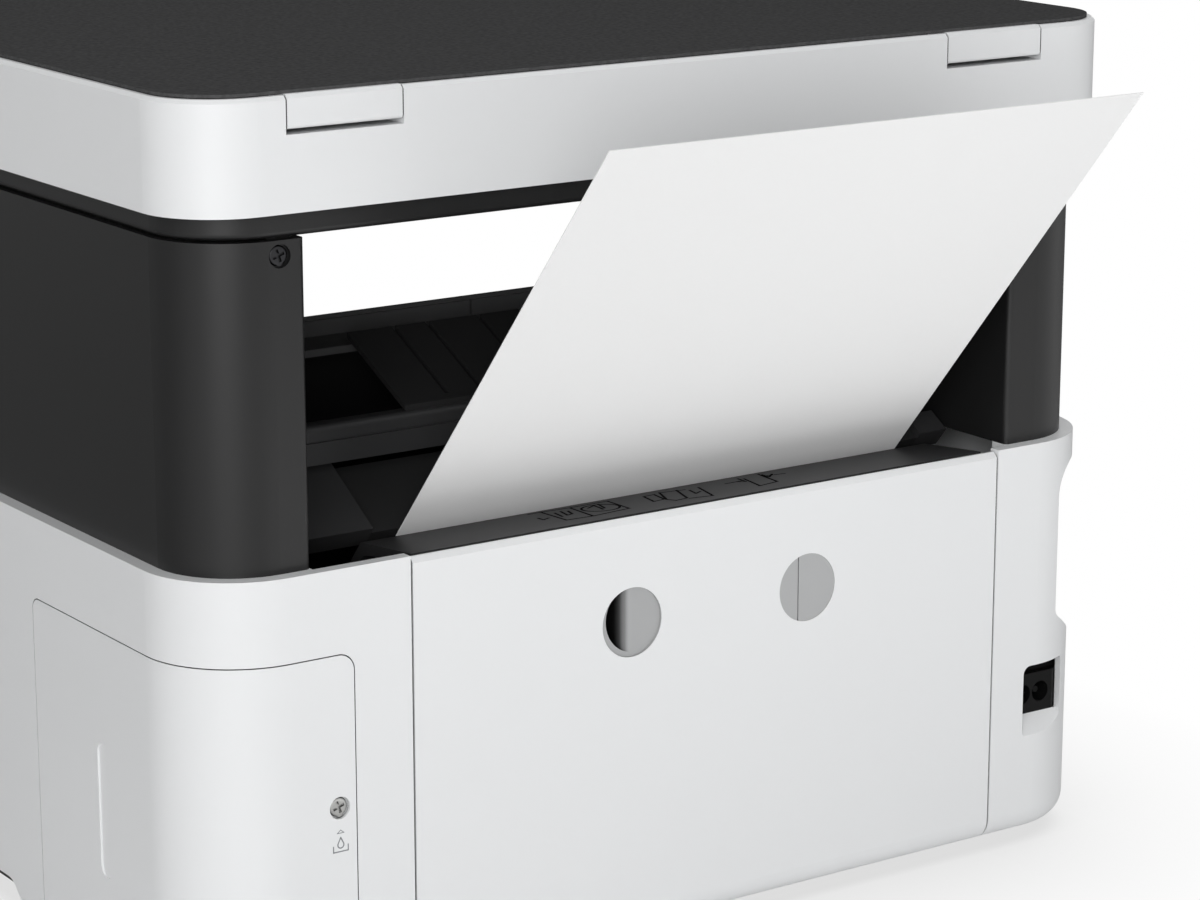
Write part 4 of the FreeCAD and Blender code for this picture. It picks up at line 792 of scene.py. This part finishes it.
def cross_screw(centre, radius, length):
    """Pan-head screw facing +Y, with a cross recess and a ridged shank."""
    head = SCREW_HEAD
    deselect()
    bpy.ops.mesh.primitive_cylinder_add(vertices=40, radius=radius, depth=head,
                                        location=(0, 0, head / 2))
    obj = bpy.context.active_object
    bpy.ops.object.mode_set(mode="EDIT")
    select_faces(obj, lambda normal: normal.z > 0.9)
    bpy.ops.mesh.bevel(offset=head * HEAD_ROUND, segments=4, affect="EDGES")
    select_faces(obj, lambda normal: normal.z < -0.9)
    bpy.ops.mesh.inset(thickness=radius * (1 - SHANK_SHARE))
    step = {"value": (0, 0, -length / RIDGES / 2)}
    for _ in range(RIDGES):
        for grow in (RIDGE_WAIST, 1 / RIDGE_WAIST):
            bpy.ops.mesh.extrude_region_move(TRANSFORM_OT_translate=step)
            bpy.ops.transform.resize(value=(grow, grow, 1))
    bpy.ops.object.mode_set(mode="OBJECT")
    cutters = []
    for turn in (0, 90):
        deselect()
        bpy.ops.mesh.primitive_cube_add(
            size=1, location=(0, 0, head), rotation=(0, 0, math.radians(turn + RECESS_TURN)),
            scale=(radius * RECESS_REACH, sizes().recess_width, head * RECESS_DEPTH))
        cutters.append(bpy.context.active_object)
    for cutter in cutters:
        boolean = obj.modifiers.new("Recess", "BOOLEAN")
        boolean.object = cutter
        boolean.solver = "EXACT"
    apply_modifiers(obj)
    for cutter in cutters:
        bpy.data.objects.remove(cutter)
    obj.rotation_euler = (math.radians(-90), 0, 0)
    obj.location = centre
    return obj


class PRINTER_OT_screws(bpy.types.Operator):
    """Cross-recessed screws of the towers and of the maintenance cover"""
    bl_idname = "printer.screws"
    bl_label = "Screws"

    def execute(self, context):
        low, high = node_box("cabinet_screws")
        radius = (high.z - low.z) / 2
        length = high.y - low.y - SCREW_HEAD
        z = (low.z + high.z) / 2
        # Painted shade in the cross recesses of the tower screws.
        black = paint_gap_shade(brushed("blackened screw", SCREW_BLACK, 0.35))
        pair = [cross_screw((x, high.y - SCREW_HEAD, z), radius, length)
                for x in (low.x + radius, high.x - radius)]
        screws = finish_piece(join(pair), "cabinet_screw_heads", black, "chassis")
        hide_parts("cabinet_screws")
        low, high = node_box("maintenance_screw")
        # Painted shade in the cross recess of the cover screw.
        nickel = paint_gap_shade(brushed("nickel plated screw", SCREW_NICKEL, 0.28))
        centre = ((low.x + high.x) / 2, high.y - SCREW_HEAD, (low.z + high.z) / 2)
        screw = finish_piece(cross_screw(centre, radius, length), "cover_screw_head", nickel,
                             "maintenance_cover")
        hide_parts("maintenance_screw")
        return {"FINISHED"}


# Lamps: name, place, size, watts and what they are aimed at.
BODY_MIDDLE = (0, 0, 0.15)
LAMPS = (
    ("Key", (1.45, 1.8, 0.66), 1.3, 26.5, BODY_MIDDLE),
    ("Rear fill", (-1.5, 1.9, 0.35), 1.2, 1.2, BODY_MIDDLE),
    ("Floor bounce", (-0.15, 0.55, 0.02), 0.4, 0.5, (-0.15, 0.55, 1.0)),
    ("Front fill", (-0.9, -1.8, 0.1), 0.4, 25.0, BODY_MIDDLE),
    ("Top", (0.0, 0.2, 2.3), 1.6, 8.0, BODY_MIDDLE),
)
FLOOR_SIZE = 8
FLOOR_GREY = (0.9, 0.9, 0.9)
# Soft shadow round the foot: how far it reaches, the openness at its darkest and its tone there.
SHADOW_REACH = 0.12
SHADOW_OPENNESS = 0.3
SHADOW_TONE = 0.72
# Fall from rear to front: of the floor's glow in mirror rays, a painted reflection, and of the
# soft light.
FLOOR_MIRROR_GLOW_PLACE = (-0.2, 0.3)
FLOOR_MIRROR_GLOW = (0.2, 1.0)
WORLD_FALL_PLACE = (-0.7, 0.7)
WORLD_FALL = (0.10, 0.45)
WORLD_TINT = (0.99, 0.995, 1.0)
CAMERA_PLACE = (0.672, 1.04944, 0.4519)
CAMERA_YAW = math.radians(34.634)
CAMERA_PITCH = math.radians(13.914)


def backdrop_rays(tree):
    """One for camera, mirror and glass rays, which see the white studio."""
    rays = tree.nodes.new("ShaderNodeLightPath").outputs
    seen = rays["Is Camera Ray"]
    for kind in ("Is Glossy Ray", "Is Transmission Ray"):
        seen = calculate(tree, "MAXIMUM", seen, rays[kind])
    return seen


class PRINTER_OT_stage(bpy.types.Operator):
    """Floor, lights, white backdrop and the camera"""
    bl_idname = "printer.stage"
    bl_label = "Stage"

    def execute(self, context):
        scene = bpy.context.scene
        scene.view_settings.view_transform = "Standard"
        deselect()
        bpy.ops.mesh.primitive_plane_add(size=FLOOR_SIZE, location=(0, 0, 0))
        floor = bpy.context.active_object
        floor.name = "studio_floor"
        floor.data.materials.append(self.floor_material())
        self.backdrop(scene)
        for lamp in LAMPS:
            self.lamp(*lamp)
        self.camera(scene)
        return {"FINISHED"}

    def floor_material(self):
        """Pale floor that the camera sees as white with a soft shadow."""
        material, tree, shader = start_material("studio floor", FLOOR_GREY, 0.9)
        white = tree.nodes.new("ShaderNodeEmission")
        open_floor = openness(tree, SHADOW_REACH, samples=16)
        shadow = mapped(tree, open_floor, (SHADOW_OPENNESS, 1), (SHADOW_TONE, 1))
        strength = calculate(tree, "MULTIPLY", self.floor_glow(tree), shadow)
        tree.links.new(strength, white.inputs["Strength"])
        output = tree.nodes["Material Output"]
        self.show(tree, shader.outputs["BSDF"], white.outputs["Emission"], output)
        return material

    def show(self, tree, lit, seen, output):
        """Lights with one shader, and shows the other as the backdrop."""
        mix = tree.nodes.new("ShaderNodeMixShader")
        tree.links.new(backdrop_rays(tree), mix.inputs["Fac"])
        tree.links.new(lit, mix.inputs[1])
        tree.links.new(seen, mix.inputs[2])
        tree.links.new(mix.outputs["Shader"], output.inputs["Surface"])

    def floor_glow(self, tree):
        """White to the camera; to mirror rays the floor glows less at the front than at the
        rear, a painted reflection.
        """
        # Painted reflection: mirror rays see the floor's glow graded from front to rear.
        fall = mapped(tree, axes(tree)["Y"], FLOOR_MIRROR_GLOW_PLACE, FLOOR_MIRROR_GLOW)
        mirror = tree.nodes.new("ShaderNodeLightPath").outputs["Is Glossy Ray"]
        return mixed(tree, mirror, 1.0, fall, kind="FLOAT")

    def backdrop(self, scene):
        """Soft light that falls off to the front, behind a white background."""
        world = bpy.data.worlds.new("White studio")
        world.use_nodes = True
        scene.world = world
        tree = world.node_tree
        soft = tree.nodes["Background"]
        soft.inputs["Color"].default_value = (*WORLD_TINT, 1)
        fall = mapped(tree, axes(tree, "Generated")["Y"], WORLD_FALL_PLACE, WORLD_FALL)
        tree.links.new(fall, soft.inputs["Strength"])
        white = tree.nodes.new("ShaderNodeBackground")
        white.inputs["Color"].default_value = (1, 1, 1, 1)
        white.inputs["Strength"].default_value = 1.0
        output = tree.nodes["World Output"]
        self.show(tree, soft.outputs["Background"], white.outputs["Background"], output)

    def lamp(self, name, place, size, power, target):
        deselect()
        bpy.ops.object.light_add(type="AREA", location=place)
        lamp = bpy.context.active_object
        lamp.name = name
        lamp.data.size = size
        lamp.data.energy = power
        aim = Vector(target) - Vector(place)
        lamp.rotation_euler = aim.to_track_quat("-Z", "Y").to_euler()

    def camera(self, scene):
        deselect()
        bpy.ops.object.camera_add(location=CAMERA_PLACE)
        camera = bpy.context.active_object
        level = math.cos(CAMERA_PITCH)
        aim = Vector((-math.sin(CAMERA_YAW) * level, -math.cos(CAMERA_YAW) * level,
                      -math.sin(CAMERA_PITCH)))
        camera.rotation_euler = aim.to_track_quat("-Z", "Y").to_euler()
        camera.data.sensor_fit = "HORIZONTAL"
        camera.data.sensor_width = 36.0
        camera.data.lens = sizes().camera_lens
        camera.data.clip_end = 50.0
        scene.camera = camera


STEPS = (
    PRINTER_OT_white_mouldings,
    PRINTER_OT_black_mouldings,
    PRINTER_OT_document_lid,
    PRINTER_OT_print_engine,
    PRINTER_OT_paper,
    PRINTER_OT_control_panel,
    PRINTER_OT_cover_icon,
    PRINTER_OT_ledge_icons,
    PRINTER_OT_screws,
    PRINTER_OT_stage,
)


class PRINTER_PT_finish(bpy.types.Panel):
    """Colours, sizes and the steps of the finish"""
    bl_idname = "PRINTER_PT_finish"
    bl_label = "Printer finish"
    bl_space_type = "VIEW_3D"
    bl_region_type = "UI"
    bl_category = "Printer"

    def draw(self, context):
        column = self.layout.column()
        for group in (context.scene.printer_colours, context.scene.printer_sizes):
            for name in group.__annotations__:
                column.prop(group, name)
        for step in STEPS:
            column.operator(step.bl_idname)


CLASSES = (PrinterColours, PrinterSizes) + STEPS + (PRINTER_PT_finish,)


def register():
    for cls in CLASSES:
        bpy.utils.register_class(cls)
    bpy.types.Scene.printer_colours = PointerProperty(type=PrinterColours)
    bpy.types.Scene.printer_sizes = PointerProperty(type=PrinterSizes)


def unregister():
    del bpy.types.Scene.printer_sizes
    del bpy.types.Scene.printer_colours
    for cls in reversed(CLASSES):
        bpy.utils.unregister_class(cls)


def main():
    register()
    bpy.ops.printer.white_mouldings()
    bpy.ops.printer.black_mouldings()
    bpy.ops.printer.document_lid()
    bpy.ops.printer.print_engine()
    bpy.ops.printer.paper()
    bpy.ops.printer.control_panel()
    bpy.ops.printer.cover_icon()
    bpy.ops.printer.ledge_icons()
    bpy.ops.printer.screws()
    bpy.ops.printer.stage()


if __name__ == "__main__":
    main()
